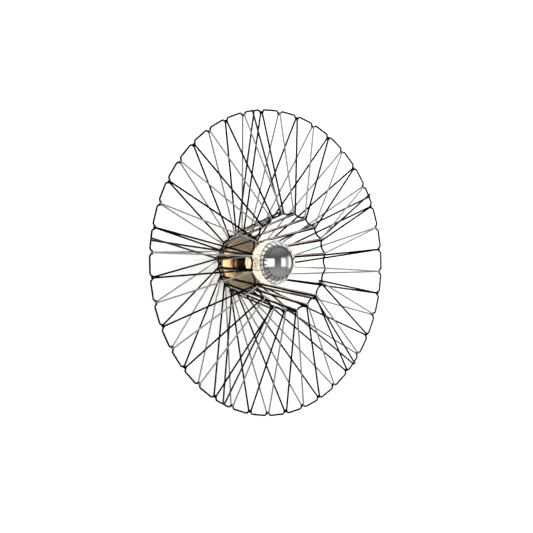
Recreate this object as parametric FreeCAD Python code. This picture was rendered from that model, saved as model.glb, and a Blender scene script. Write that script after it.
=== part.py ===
"""Cage wall light: a wire wheel wound with two cords round a mirrored globe bulb on a brass canopy.

Frame, in millimetres: the wall is the plane Y = 0, the light stands out along -Y and Z is up. A depth
is the distance in front of the wall. Angles run clockwise from the top, seen from the front.
"""
import FreeCAD, Part
import math
import os

OUT_FOLDER = "parts"

# ---- Wire frame ----
WIRE_D = 3.2
WELD_SINK = 0.15
RIM_NOTCHES = 40
PAIRS = 20
FIRST_PAIR_ANGLE = -8.7
RIM_DEPTH = 94.5
RIM_NOTCH_R = 263.0
RIM_CREST_RISE = 5.3
RIM_NOTCH_BEND = 3.6
RIM_CORNER_BEND = 4.5
FRONT_DEPTH = 134.7
FRONT_NOTCH_R = 87.4
FRONT_BULGE = 4.5
FRONT_NOTCH_BEND = 6.5
BACK_DEPTH = 6.1
BACK_NOTCH_R = 54.9
BACK_BULGE = 2.6
BACK_NOTCH_BEND = 6.0
ROD_COUNT = 5
ROD_TAIL = 0.5
BACK_ROD_LIFT = 1.5
ROD_SETBACK = 0.8
STAY_SIDE_GAP = 0.3

# ---- Cords ----
CORD_D = 2.4
CORD_SIDE_GAP = 0.7
FRONT_SPREAD = 0.3
BACK_DRIFT = -1.3
CORD_LIFT = 0.1
CORD_TAIL = 8.0
BLACK_START_PAIR = 6
GREY_START_PAIR = 7

# ---- Wall plate ----
PLATE_R = 42.0
PLATE_T = 2.0
TONGUES = 4
TONGUE_W = 8.0
TONGUE_BEND_START_R = 40.5
TONGUE_BEND_RUN = 4.0
TONGUE_SINK = 0.05
SLOT_SPACING = 60.0
SLOT_W = 5.0
SLOT_L = 10.0
CABLE_HOLE_R = 6.0
CABLE_HOLE_Z = -29.0
GROMMET_BORE_R = 4.0
GROMMET_LIP = 2.0
GROMMET_LIP_T = 1.2

# ---- Canopy ----
CANOPY_R = 49.5
CANOPY_T = 1.2
CANOPY_FACE_DEPTH = 12.0
CANOPY_EDGE_R = 2.5
CANOPY_HOLE_GAP = 0.2
LOCKNUT_R = 18.6
LOCKNUT_T = 2.5
LOCKNUT_GAP = 0.05
LOCKNUT_SLOTS = 4
LOCKNUT_SLOT_W = 3.0
LOCKNUT_SLOT_DEEP = 1.2

# ---- Lampholder ----
SLEEVE_T = 1.0
SLEEVE_FRONT_DEPTH = 38.0
COLLAR_RISE = 1.2
COLLAR_L = 4.0
LINER_T = 0.8
PART_GAP = 0.1
BASE_FRONT_DEPTH = 8.0
LINER_FRONT_DEPTH = 35.0
SHELL_T = 0.4
SHELL_START_DEPTH = 13.0
SHELL_L = 19.0
CAP_GAP = 0.35
CONTACT_SHAFT_R = 3.0
CONTACT_HEAD_R = 4.2
CONTACT_HEAD_T = 1.8
CONTACT_SHAFT_L = 5.0
CONTACT_RUN_GAP = 0.05
CONTACT_REST_GAP = 0.3
HOLDER_SCREW_R = 1.5
HOLDER_SCREW_X = 9.5
HOLDER_SCREW_L = 6.6
HOLDER_SCREW_HEAD_R = 2.8
HOLDER_SCREW_HEAD_L = 1.4
SCREW_GAP = 0.1

# ---- Wiring ----
BLOCK_W = 26.0
BLOCK_H = 9.0
BLOCK_T = 8.0
BLOCK_Z = 29.0
POLE_PITCH = 7.5
BLOCK_SCREW_R = 1.7
BLOCK_SCREW_DEEP = 3.0
LEAD_D = 2.0
LEAD_DEPTH = 5.0
LEAD_IN = 3.0
LEAD_HOLE_GAP = 0.2
LEAD_BEND = 4.0
EARTH_X = -20.0
EARTH_Z = 19.0
EARTH_SHANK_R = 2.0
EARTH_HEAD_R = 4.0
EARTH_HEAD_T = 4.0

# ---- Bulb ----
GLOBE_R = 40.0
GLOBE_DEPTH = 91.6
GLASS_T = 0.8
CROWN_ANGLE = 75.0
BULB_LENGTH = 120.0
NECK_R = 15.0
NECK_FILLET = 18.0
CAP_R = 13.2
CAP_T = 0.4
CAP_L = 21.5
TIP_R = 4.6
TIP_T = 1.0
INSULATOR_L = 3.4
INSULATOR_R = 11.0
STEM_R = 2.6
STEM_FLARE_L = 16.0
STEM_TOP_DEPTH = 82.0
FILAMENTS = 6
FILAMENT_D = 1.8
FILAMENT_L = 36.0
FILAMENT_TOP_R = 9.0
FILAMENT_FOOT_R = 13.0
FILAMENT_MID_DEPTH = 84.0
SUPPORT_D = 0.8

# ---- Sizes that follow ----
WIRE_R = WIRE_D / 2
CORD_R = CORD_D / 2
TOUCH = WIRE_D - WELD_SINK
WRAP_R = WIRE_R + CORD_R + CORD_LIFT
PAIR_STEP = 360 / PAIRS
RIM_STEP = 360 / RIM_NOTCHES
RIM_CREST_R = RIM_NOTCH_R + RIM_CREST_RISE
CORD_OFFSET = (CORD_D + CORD_SIDE_GAP) / 2
TONGUE_FRONT_DEPTH = BACK_DEPTH - WIRE_R + TONGUE_SINK
BULB_TIP_DEPTH = GLOBE_DEPTH + GLOBE_R - BULB_LENGTH
CAP_START_DEPTH = BULB_TIP_DEPTH + TIP_T + INSULATOR_L
CAP_END_DEPTH = CAP_START_DEPTH + CAP_L
SHELL_IN_R = CAP_R + CAP_GAP
LINER_IN_R = SHELL_IN_R + SHELL_T + PART_GAP
BASE_R = LINER_IN_R + LINER_T
SLEEVE_IN_R = BASE_R + PART_GAP
SLEEVE_R = SLEEVE_IN_R + SLEEVE_T
LEAD_R = LEAD_D / 2
OUT = FreeCAD.Vector(0, -1, 0)
CENTRE = FreeCAD.Vector(0, 0, 0)


# ---- Geometry helpers ----
def at(radius, angle, depth, lateral=0.0):
    """Point at a radius and angle, moved sideways (clockwise) by lateral."""
    turn = math.radians(angle)
    x = radius * math.sin(turn) + lateral * math.cos(turn)
    z = radius * math.cos(turn) - lateral * math.sin(turn)
    return FreeCAD.Vector(x, -depth, z)


def unit(vector):
    """The same direction with length 1."""
    return vector / vector.Length


def line(start, end):
    """Straight edge."""
    return Part.LineSegment(start, end).toShape()


def arc(start, centre, end):
    """Edge of the shorter arc round a centre."""
    radius = (start - centre).Length
    middle = centre + unit((start - centre) + (end - centre)) * radius
    return Part.Arc(start, middle, end).toShape()


def sweep_round(edges, diameter):
    """Round bar along a path of tangent lines and arcs."""
    path = Part.Wire(edges)
    start = edges[0].valueAt(edges[0].FirstParameter)
    heading = edges[0].tangentAt(edges[0].FirstParameter)
    circle = Part.Circle(start, heading, diameter / 2).toShape()
    return path.makePipeShell([Part.Wire([circle])], True, False)


def rod(start, end, diameter):
    """Straight round bar between two points."""
    return Part.makeCylinder(diameter / 2, (end - start).Length, start, end - start)


def ring_bar(inner, outer, depth_from, depth_to):
    """Tube or, with no inner radius, a disc on the light's axis."""
    foot = OUT * depth_from
    bar = Part.makeCylinder(outer, depth_to - depth_from, foot, OUT)
    if inner > 0:
        bar = bar.cut(Part.makeCylinder(inner, depth_to - depth_from, foot, OUT))
    return bar


def turned(edges):
    """Solid of revolution from a closed outline in the plane Z = 0, with X as the radius."""
    face = Part.Face(Part.Wire(Part.__sortEdges__(edges)))
    return face.revolve(CENTRE, FreeCAD.Vector(0, 1, 0), 360)


def turned_points(points):
    """Solid of revolution from (radius, depth) corners."""
    corners = [FreeCAD.Vector(radius, -depth, 0) for radius, depth in points]
    return turned([line(a, b) for a, b in zip(corners, corners[1:] + corners[:1])])


# ---- Wire rings ----
def pair_angle(pair):
    """Angle of a notch of the front and back rings, and of its two rim notches' middle."""
    return FIRST_PAIR_ANGLE + PAIR_STEP * pair


def cusped_ring(notch_r, bulge, notch_bend, depth):
    """Ring whose notches point outward, joined by arcs that bulge toward the axis."""
    half = PAIR_STEP / 2
    cos_half = math.cos(math.radians(half))
    notch_centre_r = notch_r - notch_bend
    inner_r = notch_r - bulge
    top = notch_bend ** 2 - inner_r ** 2 - notch_centre_r ** 2 + 2 * notch_centre_r * inner_r * cos_half
    bulge_bend = top / (2 * (inner_r - notch_centre_r * cos_half - notch_bend))
    share = notch_bend / (notch_bend + bulge_bend)
    edges = []
    for pair in range(PAIRS):
        angle = pair_angle(pair)
        notch = at(notch_centre_r, angle, depth)
        before = at(inner_r + bulge_bend, angle - half, depth)
        after = at(inner_r + bulge_bend, angle + half, depth)
        following = at(notch_centre_r, angle + PAIR_STEP, depth)
        left = notch + (before - notch) * share
        right = notch + (after - notch) * share
        next_left = following + (after - following) * share
        edges.append(Part.Arc(left, at(notch_r, angle, depth), right).toShape())
        edges.append(Part.Arc(right, at(inner_r, angle + half, depth), next_left).toShape())
    return sweep_round(edges, WIRE_D)


def rim_ring():
    """Large ring: flat-topped scallops between tight notches that dip toward the axis."""
    half = RIM_STEP / 2
    turn = math.radians(half)
    notch_centre_r = RIM_NOTCH_R + RIM_NOTCH_BEND
    corner_along = RIM_CREST_R - RIM_CORNER_BEND
    bends = RIM_NOTCH_BEND + RIM_CORNER_BEND
    rise = notch_centre_r * math.cos(turn) - corner_along
    flat_half = notch_centre_r * math.sin(turn) - math.sqrt(bends ** 2 - rise ** 2)
    share = RIM_NOTCH_BEND / bends
    edges = []
    for notch_index in range(RIM_NOTCHES):
        angle = FIRST_PAIR_ANGLE + half + RIM_STEP * notch_index
        notch = at(notch_centre_r, angle, RIM_DEPTH)
        before = at(corner_along, angle - half, RIM_DEPTH, flat_half)
        after = at(corner_along, angle + half, RIM_DEPTH, -flat_half)
        crest_start = at(RIM_CREST_R, angle + half, RIM_DEPTH, -flat_half)
        crest_end = at(RIM_CREST_R, angle + half, RIM_DEPTH, flat_half)
        next_corner = at(corner_along, angle + half, RIM_DEPTH, flat_half)
        next_notch = at(notch_centre_r, angle + RIM_STEP, RIM_DEPTH)
        left = notch + (before - notch) * share
        right = notch + (after - notch) * share
        next_left = next_notch + (next_corner - next_notch) * share
        edges.append(Part.Arc(left, at(RIM_NOTCH_R, angle, RIM_DEPTH), right).toShape())
        edges.append(arc(right, after, crest_start))
        edges.append(line(crest_start, crest_end))
        edges.append(arc(crest_end, next_corner, next_left))
    return sweep_round(edges, WIRE_D)


# ---- Rods and stays of the frame ----
def lapped_rod(start_ring, start_side, end_ring, end_side, start_tail, end_tail):
    """Straight wire lapped on two ring wires: each side is +1 in front of the ring, -1 behind it."""
    along = unit(end_ring - start_ring)
    radial = FreeCAD.Vector(end_ring.x, 0, end_ring.z)
    in_front = unit(OUT - along * OUT.dot(along))
    start = start_ring + in_front * (start_side * TOUCH)
    end = end_ring + in_front * (end_side * TOUCH)
    heading = unit(end - start)
    assert heading.dot(radial) > 0
    return rod(start - heading * start_tail, end + heading * end_tail, WIRE_D)


def front_rod(angle):
    """From behind the front ring to the front of a rim scallop."""
    inner = at(FRONT_NOTCH_R, angle, FRONT_DEPTH)
    outer = at(RIM_CREST_R, angle, RIM_DEPTH, -(WIRE_R + WELD_SINK))
    return lapped_rod(inner, -1, outer, 1, ROD_TAIL, WIRE_R)


def back_rod(angle):
    """From the back ring's front, where it is coped, to the front of a rim scallop by the front rod."""
    inner = at(BACK_NOTCH_R, angle, BACK_DEPTH)
    outer = at(RIM_CREST_R, angle, RIM_DEPTH, WIRE_R + WELD_SINK)
    bar = lapped_rod(inner, BACK_ROD_LIFT / TOUCH, outer, 1, -ROD_SETBACK, WIRE_R)
    bend_centre = at(BACK_NOTCH_R - BACK_NOTCH_BEND, angle, BACK_DEPTH)
    return bar.cut(Part.makeTorus(BACK_NOTCH_BEND, WIRE_R, bend_centre, OUT))


def stay(angle):
    """From the front ring to the back ring, on the rings' outer side and beside the rods' ends."""
    side = WIRE_D + STAY_SIDE_GAP
    slant = math.atan2(FRONT_NOTCH_R - BACK_NOTCH_R, FRONT_DEPTH - BACK_DEPTH)
    reach = TOUCH / math.cos(slant)
    radii = []
    for notch_r, bend in ((FRONT_NOTCH_R, FRONT_NOTCH_BEND), (BACK_NOTCH_R, BACK_NOTCH_BEND)):
        radii.append(notch_r - bend + math.sqrt((bend + reach) ** 2 - side ** 2))
    front = at(radii[0], angle, FRONT_DEPTH, side)
    back = at(radii[1], angle, BACK_DEPTH, side)
    heading = unit(front - back)
    return rod(back - heading * ROD_TAIL, front + heading * ROD_TAIL, WIRE_D)


# ---- Cords ----
def corner_bend(corners, index, wire_heading):
    """Directions from a corner to its neighbours, and the bend that clears a wire crossed at a slant."""
    to_last = unit(corners[index - 1] - corners[index])
    to_next = unit(corners[index + 1] - corners[index])
    bend = WRAP_R / abs(unit(to_last.cross(to_next)).dot(wire_heading))
    return to_last, to_next, bend


def taut_path(pegs, start, end):
    """Lines and arcs of a taut cord from start, round the outside of each wire, to end.

    A peg is the wire's centre under the cord and the wire's heading there.
    """
    corners = [start] + [centre for centre, heading in pegs] + [end]
    for _ in range(8):
        for index, (centre, heading) in enumerate(pegs, 1):
            to_last, to_next, bend = corner_bend(corners, index, heading)
            reach = bend / math.sin(to_last.getAngle(to_next) / 2)
            corners[index] = centre - unit(to_last + to_next) * reach
    edges = []
    here = start
    for index, (_, heading) in enumerate(pegs, 1):
        to_last, to_next, bend = corner_bend(corners, index, heading)
        reach = bend / math.tan(to_last.getAngle(to_next) / 2)
        pivot = corners[index] + unit(to_last + to_next) * math.hypot(bend, reach)
        arrive = corners[index] + to_last * reach
        leave = corners[index] + to_next * reach
        edges.append(line(here, arrive))
        edges.append(arc(arrive, pivot, leave))
        here = leave
    edges.append(line(here, end))
    return edges


def ring_peg(notch_r, bend, depth, pair, lateral):
    """Peg on a cusped ring's wire under a cord that lies beside the notch's middle."""
    angle = pair_angle(pair)
    bend_centre = at(notch_r - bend, angle, depth)
    centre = at(notch_r - bend + math.sqrt(bend ** 2 - lateral ** 2), angle, depth, lateral)
    return centre, unit((centre - bend_centre).cross(OUT))


def rim_peg(angle):
    """Peg in a rim notch."""
    centre = at(RIM_NOTCH_R, angle, RIM_DEPTH)
    return centre, unit((centre - OUT * RIM_DEPTH).cross(OUT))


def front_peg(pair, lateral):
    """Where a cord goes round the front ring."""
    return ring_peg(FRONT_NOTCH_R, FRONT_NOTCH_BEND, FRONT_DEPTH, pair, lateral)


def back_peg(pair, lateral):
    """Where a cord goes round the back ring."""
    return ring_peg(BACK_NOTCH_R, BACK_NOTCH_BEND, BACK_DEPTH, pair, lateral)


def free_end(pair, lateral, share):
    """Place on the line a cord follows inside the funnel, a share of the way from back to front."""
    back = at(BACK_NOTCH_R - WRAP_R, pair_angle(pair), BACK_DEPTH, lateral)
    front = at(FRONT_NOTCH_R - WRAP_R, pair_angle(pair), FRONT_DEPTH, lateral)
    return back + (front - back) * share


def winding(side, start_pair, end_pair, end_lateral):
    """One cord's path: back ring, rim and front ring, 20 times, one pair back each turn.

    The legs slant, so the pegs lie beside the lateral that the cord keeps inside the funnel.
    """
    lateral = side * CORD_OFFSET
    front_lateral = lateral + side * FRONT_SPREAD
    back_lateral = lateral + BACK_DRIFT
    end_share = CORD_TAIL / (FRONT_DEPTH - BACK_DEPTH)
    pegs = [back_peg(start_pair, back_lateral)]
    for turn in range(1, PAIRS + 1):
        pair = start_pair - turn
        pegs.append(rim_peg(pair_angle(pair) + side * RIM_STEP / 2))
        if turn < PAIRS:
            pegs.append(front_peg(pair, front_lateral))
            pegs.append(back_peg(pair, back_lateral))
    pegs.append(front_peg(end_pair, end_lateral))
    start = free_end(start_pair, lateral, end_share)
    end = free_end(end_pair, end_lateral, 1 - end_share)
    return taut_path(pegs, start, end)


def least_gap(edges, step=4.0, skip=14.0):
    """Least clear distance of a cord to itself, from points along it more than skip apart."""
    points = []
    travelled = 0.0
    for edge in edges:
        count = max(1, round(edge.Length / step))
        for index in range(count):
            share = index / count
            place = edge.FirstParameter + (edge.LastParameter - edge.FirstParameter) * share
            point = edge.valueAt(place)
            points.append((travelled + edge.Length * share, point.x, point.y, point.z))
        travelled += edge.Length
    least = float("inf")
    for index, (run, x, y, z) in enumerate(points):
        for other_run, other_x, other_y, other_z in points[index + 1:]:
            if other_run - run > skip:
                distance = (x - other_x) ** 2 + (y - other_y) ** 2 + (z - other_z) ** 2
                least = min(least, distance)
    return math.sqrt(least) - CORD_D


def cord(name, edges):
    """Solid of a cord, with its length, volume and gap printed."""
    solid = sweep_round(edges, CORD_D)
    length = sum(edge.Length for edge in edges)
    section = math.pi * CORD_R ** 2
    share = solid.Volume / (length * section)
    print(name, "length %.0f mm, volume share %.4f, gap %.2f mm" % (length, share, least_gap(edges)))
    return solid


def black_cord():
    """Black cord: its last leg ends one pair late, beside the others in that notch."""
    end_pair = BLACK_START_PAIR + 1
    return cord("black_cord", winding(1, BLACK_START_PAIR, end_pair, -3 * CORD_OFFSET))


def grey_cord():
    """Grey cord: ends at the front ring's notch over its own start."""
    return cord("grey_cord", winding(-1, GREY_START_PAIR, GREY_START_PAIR, -CORD_OFFSET))


# ---- Wall plate, grommet and canopy ----
def slot_cutter(x):
    """Slot for a wall screw, long along X."""
    run = (SLOT_L - SLOT_W) / 2
    ends = [Part.makeCylinder(SLOT_W / 2, PLATE_T, FreeCAD.Vector(x + dx, 0, 0), OUT) for dx in (-run, run)]
    corner = FreeCAD.Vector(x - run, -PLATE_T, -SLOT_W / 2)
    return Part.makeBox(2 * run, PLATE_T, SLOT_W, corner).fuse(ends)


def tongue(angle):
    """Joggled strip from the plate to the back of the back ring."""
    end_r = BACK_NOTCH_R - BACK_BULGE + WIRE_R / 2
    bend_end_r = TONGUE_BEND_START_R + TONGUE_BEND_RUN
    raised = TONGUE_FRONT_DEPTH - PLATE_T
    foot_r = PLATE_R - PLATE_T * 2
    outline = [(foot_r, 0.0), (TONGUE_BEND_START_R, 0.0), (bend_end_r, raised), (end_r, raised),
               (end_r, TONGUE_FRONT_DEPTH), (bend_end_r - PLATE_T / 2, TONGUE_FRONT_DEPTH),
               (TONGUE_BEND_START_R - PLATE_T / 2, PLATE_T), (foot_r, PLATE_T)]
    corners = [at(radius, angle, depth, -TONGUE_W / 2) for radius, depth in outline]
    face = Part.Face(Part.makePolygon(corners + corners[:1]))
    return face.extrude(at(0, angle, 0, TONGUE_W))


def holder_screw_cutter(x, gap):
    """Countersunk screw shape, bigger all round by gap, for the screw or its hole."""
    foot = FreeCAD.Vector(x, 0, 0)
    head = Part.makeCone(HOLDER_SCREW_HEAD_R + gap, HOLDER_SCREW_R + gap, HOLDER_SCREW_HEAD_L, foot, OUT)
    shank = Part.makeCylinder(HOLDER_SCREW_R + gap, HOLDER_SCREW_L + gap, foot, OUT)
    return head.fuse(shank)


def wall_plate():
    """Round steel plate with slots, cable hole and four tongues welded to the back ring."""
    plate = ring_bar(0, PLATE_R, 0, PLATE_T)
    plate = plate.fuse([tongue(pair_angle(PAIRS // TONGUES * index + 0.5)) for index in range(TONGUES)])
    cutters = [slot_cutter(side * SLOT_SPACING / 2) for side in (-1, 1)]
    cutters += [holder_screw_cutter(side * HOLDER_SCREW_X, SCREW_GAP) for side in (-1, 1)]
    cutters.append(Part.makeCylinder(CABLE_HOLE_R, PLATE_T, FreeCAD.Vector(0, 0, CABLE_HOLE_Z), OUT))
    earth = FreeCAD.Vector(EARTH_X, 0, EARTH_Z)
    cutters.append(Part.makeCylinder(EARTH_SHANK_R + SCREW_GAP, PLATE_T, earth, OUT))
    return plate.cut(cutters).removeSplitter()


def cable_grommet():
    """Rubber ring in the cable hole, with a lip in front of the plate."""
    foot = FreeCAD.Vector(0, 0, CABLE_HOLE_Z)
    neck = Part.makeCylinder(CABLE_HOLE_R - SCREW_GAP / 2, PLATE_T + GROMMET_LIP_T, foot, OUT)
    lip_foot = foot + OUT * PLATE_T
    lip = Part.makeCylinder(CABLE_HOLE_R + GROMMET_LIP, GROMMET_LIP_T, lip_foot, OUT)
    bore = Part.makeCylinder(GROMMET_BORE_R, PLATE_T + GROMMET_LIP_T, foot, OUT)
    return neck.fuse(lip).cut(bore)


def brass_canopy():
    """Shallow brass pan with a rounded edge, over the plate and round the lampholder."""
    hole_r = SLEEVE_R + CANOPY_HOLE_GAP
    inner_r = CANOPY_R - CANOPY_T
    inner_face = CANOPY_FACE_DEPTH - CANOPY_T
    inner_edge = CANOPY_EDGE_R - CANOPY_T
    edge_r = CANOPY_R - CANOPY_EDGE_R
    edge_depth = CANOPY_FACE_DEPTH - CANOPY_EDGE_R
    pivot = FreeCAD.Vector(edge_r, -edge_depth, 0)
    rim_out = FreeCAD.Vector(CANOPY_R, -TONGUE_FRONT_DEPTH, 0)
    rim_in = FreeCAD.Vector(inner_r, -TONGUE_FRONT_DEPTH, 0)
    wall_top = FreeCAD.Vector(CANOPY_R, -edge_depth, 0)
    face_edge = FreeCAD.Vector(edge_r, -CANOPY_FACE_DEPTH, 0)
    hole_front = FreeCAD.Vector(hole_r, -CANOPY_FACE_DEPTH, 0)
    hole_back = FreeCAD.Vector(hole_r, -inner_face, 0)
    inner_face_edge = pivot + OUT * inner_edge
    inner_wall_top = pivot + FreeCAD.Vector(inner_edge, 0, 0)
    return turned([line(rim_out, wall_top), arc(wall_top, pivot, face_edge), line(face_edge, hole_front),
                   line(hole_front, hole_back), line(hole_back, inner_face_edge),
                   arc(inner_face_edge, pivot, inner_wall_top), line(inner_wall_top, rim_in),
                   line(rim_in, rim_out)])


def canopy_locknut():
    """Slotted round nut on the lampholder sleeve that holds the canopy."""
    front = CANOPY_FACE_DEPTH + LOCKNUT_T
    nut = ring_bar(SLEEVE_R + LOCKNUT_GAP, LOCKNUT_R, CANOPY_FACE_DEPTH, front)
    cutters = []
    for index in range(LOCKNUT_SLOTS):
        box = Part.makeBox(LOCKNUT_SLOT_W, LOCKNUT_T, LOCKNUT_SLOT_DEEP * 2)
        box.translate(FreeCAD.Vector(-LOCKNUT_SLOT_W / 2, -front, LOCKNUT_R - LOCKNUT_SLOT_DEEP))
        box.rotate(CENTRE, OUT, 360 / LOCKNUT_SLOTS * (index + 0.5))
        cutters.append(box)
    return nut.cut(cutters)


# ---- Lampholder ----
def lead_runs(gap):
    """Straight runs of the neutral and live leads from the terminal block into the base disc."""
    top = BLOCK_Z - BLOCK_H / 2
    runs = []
    for x in (0.0, POLE_PITCH):
        bottom = math.sqrt(BASE_R ** 2 - x ** 2) - LEAD_IN
        start = FreeCAD.Vector(x, -LEAD_DEPTH, bottom)
        runs.append(rod(start, FreeCAD.Vector(x, -LEAD_DEPTH, top), LEAD_D + 2 * gap))
    return runs


def holder_sleeve():
    """Brass sleeve with a collar at its front and two wire holes near its foot."""
    collar_start = SLEEVE_FRONT_DEPTH - COLLAR_L
    sleeve_r = SLEEVE_R
    collar_r = sleeve_r + COLLAR_RISE
    sleeve = turned_points([(SLEEVE_IN_R, PLATE_T), (sleeve_r, PLATE_T), (sleeve_r, collar_start),
                            (collar_r, collar_start + COLLAR_RISE), (collar_r, SLEEVE_FRONT_DEPTH),
                            (SLEEVE_IN_R, SLEEVE_FRONT_DEPTH)])
    return sleeve.cut(lead_runs(LEAD_HOLE_GAP))


def holder_body():
    """Insulating body: a base disc with the contact's bore, and a liner inside the sleeve."""
    base = ring_bar(CONTACT_SHAFT_R + CONTACT_RUN_GAP, BASE_R, PLATE_T, BASE_FRONT_DEPTH)
    liner = ring_bar(LINER_IN_R, BASE_R, BASE_FRONT_DEPTH, LINER_FRONT_DEPTH)
    screws = [holder_screw_cutter(side * HOLDER_SCREW_X, SCREW_GAP) for side in (-1, 1)]
    return base.fuse(liner).cut(screws + lead_runs(LEAD_HOLE_GAP)).removeSplitter()


def holder_thread_shell():
    """Thin metal shell that takes the bulb's screw cap, with a foot on the base disc."""
    end = SHELL_START_DEPTH + SHELL_L
    shell_r = SHELL_IN_R + SHELL_T
    foot_r = CAP_R - SHELL_T * 2
    return turned_points([(foot_r, BASE_FRONT_DEPTH), (shell_r, BASE_FRONT_DEPTH), (shell_r, end),
                          (SHELL_IN_R, end), (SHELL_IN_R, BASE_FRONT_DEPTH + SHELL_T),
                          (foot_r, BASE_FRONT_DEPTH + SHELL_T)])


def centre_contact():
    """Headed contact pin that slides in the base's bore."""
    head_front = BULB_TIP_DEPTH - CONTACT_REST_GAP
    head_back = head_front - CONTACT_HEAD_T
    shaft_back = head_back - CONTACT_SHAFT_L
    return turned_points([(0, shaft_back), (CONTACT_SHAFT_R, shaft_back), (CONTACT_SHAFT_R, head_back),
                          (CONTACT_HEAD_R, head_back), (CONTACT_HEAD_R, head_front), (0, head_front)])


def holder_screws():
    """Two countersunk screws from behind the plate into the base disc."""
    return Part.makeCompound([holder_screw_cutter(side * HOLDER_SCREW_X, 0) for side in (-1, 1)])


# ---- Wiring under the canopy ----
def pole_positions():
    """X of the three poles of the terminal block."""
    return [-POLE_PITCH, 0.0, POLE_PITCH]


def terminal_block():
    """Three-pole block on the plate, with wire holes through it and screw wells in its front."""
    corner = FreeCAD.Vector(-BLOCK_W / 2, -PLATE_T - BLOCK_T, BLOCK_Z - BLOCK_H / 2)
    block = Part.makeBox(BLOCK_W, BLOCK_T, BLOCK_H, corner)
    up = FreeCAD.Vector(0, 0, 1)
    well_foot = PLATE_T + BLOCK_T - BLOCK_SCREW_DEEP
    cutters = []
    for x in pole_positions():
        foot = FreeCAD.Vector(x, -LEAD_DEPTH, BLOCK_Z - BLOCK_H / 2)
        cutters.append(Part.makeCylinder(LEAD_R + LEAD_HOLE_GAP, BLOCK_H, foot, up))
        well = FreeCAD.Vector(x, -well_foot, BLOCK_Z)
        cutters.append(Part.makeCylinder(BLOCK_SCREW_R + SCREW_GAP, BLOCK_SCREW_DEEP, well, OUT))
    return block.cut(cutters)


def terminal_screws():
    """Screws in the wells of the terminal block."""
    foot = PLATE_T + BLOCK_T - BLOCK_SCREW_DEEP
    length = BLOCK_SCREW_DEEP * 0.8
    places = [FreeCAD.Vector(x, -foot, BLOCK_Z) for x in pole_positions()]
    return Part.makeCompound([Part.makeCylinder(BLOCK_SCREW_R, length, place, OUT) for place in places])


def earth_lead():
    """Lead from the left pole to the side of the earth terminal."""
    top = FreeCAD.Vector(-POLE_PITCH, -LEAD_DEPTH, BLOCK_Z - BLOCK_H / 2)
    corner = FreeCAD.Vector(-POLE_PITCH, -LEAD_DEPTH, EARTH_Z)
    end = FreeCAD.Vector(EARTH_X + EARTH_HEAD_R, -LEAD_DEPTH, EARTH_Z)
    above = FreeCAD.Vector(0, 0, LEAD_BEND)
    beside = FreeCAD.Vector(-LEAD_BEND, 0, 0)
    bend = arc(corner + above, corner + above + beside, corner + beside)
    return sweep_round([line(top, corner + above), bend, line(corner + beside, end)], LEAD_D)


def earth_terminal():
    """Round earth terminal on the plate, with its shank in the plate's hole."""
    foot = FreeCAD.Vector(EARTH_X, 0, EARTH_Z)
    shank = Part.makeCylinder(EARTH_SHANK_R, PLATE_T, foot, OUT)
    head = Part.makeCylinder(EARTH_HEAD_R, EARTH_HEAD_T, foot + OUT * PLATE_T, OUT)
    return shank.fuse(head)


# ---- Bulb ----
def globe_point(radius, polar):
    """Point of the globe at a polar angle from its front tip, in the outline plane."""
    turn = math.radians(polar)
    return FreeCAD.Vector(radius * math.sin(turn), -GLOBE_DEPTH - radius * math.cos(turn), 0)


def bulb_mirror_crown():
    """Silvered front of the globe, a shell down to the crown angle."""
    inner_r = GLOBE_R - GLASS_T
    middle = CROWN_ANGLE / 2
    outer = Part.Arc(globe_point(GLOBE_R, 0), globe_point(GLOBE_R, middle), globe_point(GLOBE_R, CROWN_ANGLE))
    inner = Part.Arc(globe_point(inner_r, 0), globe_point(inner_r, middle), globe_point(inner_r, CROWN_ANGLE))
    return turned([outer.toShape(), line(globe_point(GLOBE_R, CROWN_ANGLE), globe_point(inner_r, CROWN_ANGLE)),
                   inner.toShape(), line(globe_point(inner_r, 0), globe_point(GLOBE_R, 0))])


def neck_edges(globe_r, neck_r, fillet, foot_r):
    """Outline of the globe's rear and its neck, from the crown's edge to the neck's foot."""
    pivot_r = neck_r + fillet
    pivot_depth = GLOBE_DEPTH - math.sqrt((globe_r + fillet) ** 2 - pivot_r ** 2)
    pivot = FreeCAD.Vector(pivot_r, -pivot_depth, 0)
    centre = OUT * GLOBE_DEPTH
    meet = centre + (pivot - centre) * (globe_r / (globe_r + fillet))
    neck_top = FreeCAD.Vector(neck_r, -pivot_depth, 0)
    neck_foot = FreeCAD.Vector(foot_r, -CAP_END_DEPTH, 0)
    tail = FreeCAD.Vector(foot_r, -(CAP_END_DEPTH - CAP_L / 3), 0)
    crown_edge = globe_point(globe_r, CROWN_ANGLE)
    widest = FreeCAD.Vector(globe_r, -GLOBE_DEPTH, 0)
    rear = Part.Arc(crown_edge, widest, meet).toShape()
    return [rear, arc(meet, pivot, neck_top), line(neck_top, neck_foot), line(neck_foot, tail)]


def bulb_glass():
    """Clear rear of the globe with its neck, a shell down into the screw cap."""
    outer = neck_edges(GLOBE_R, NECK_R, NECK_FILLET, CAP_R - CAP_T - PART_GAP)
    inner = neck_edges(GLOBE_R - GLASS_T, NECK_R - GLASS_T, NECK_FILLET + GLASS_T,
                       CAP_R - CAP_T - PART_GAP - GLASS_T)
    crown_joint = line(globe_point(GLOBE_R, CROWN_ANGLE), globe_point(GLOBE_R - GLASS_T, CROWN_ANGLE))
    foot_joint = line(outer[-1].Vertexes[-1].Point, inner[-1].Vertexes[-1].Point)
    return turned(outer + inner + [crown_joint, foot_joint])


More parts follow.
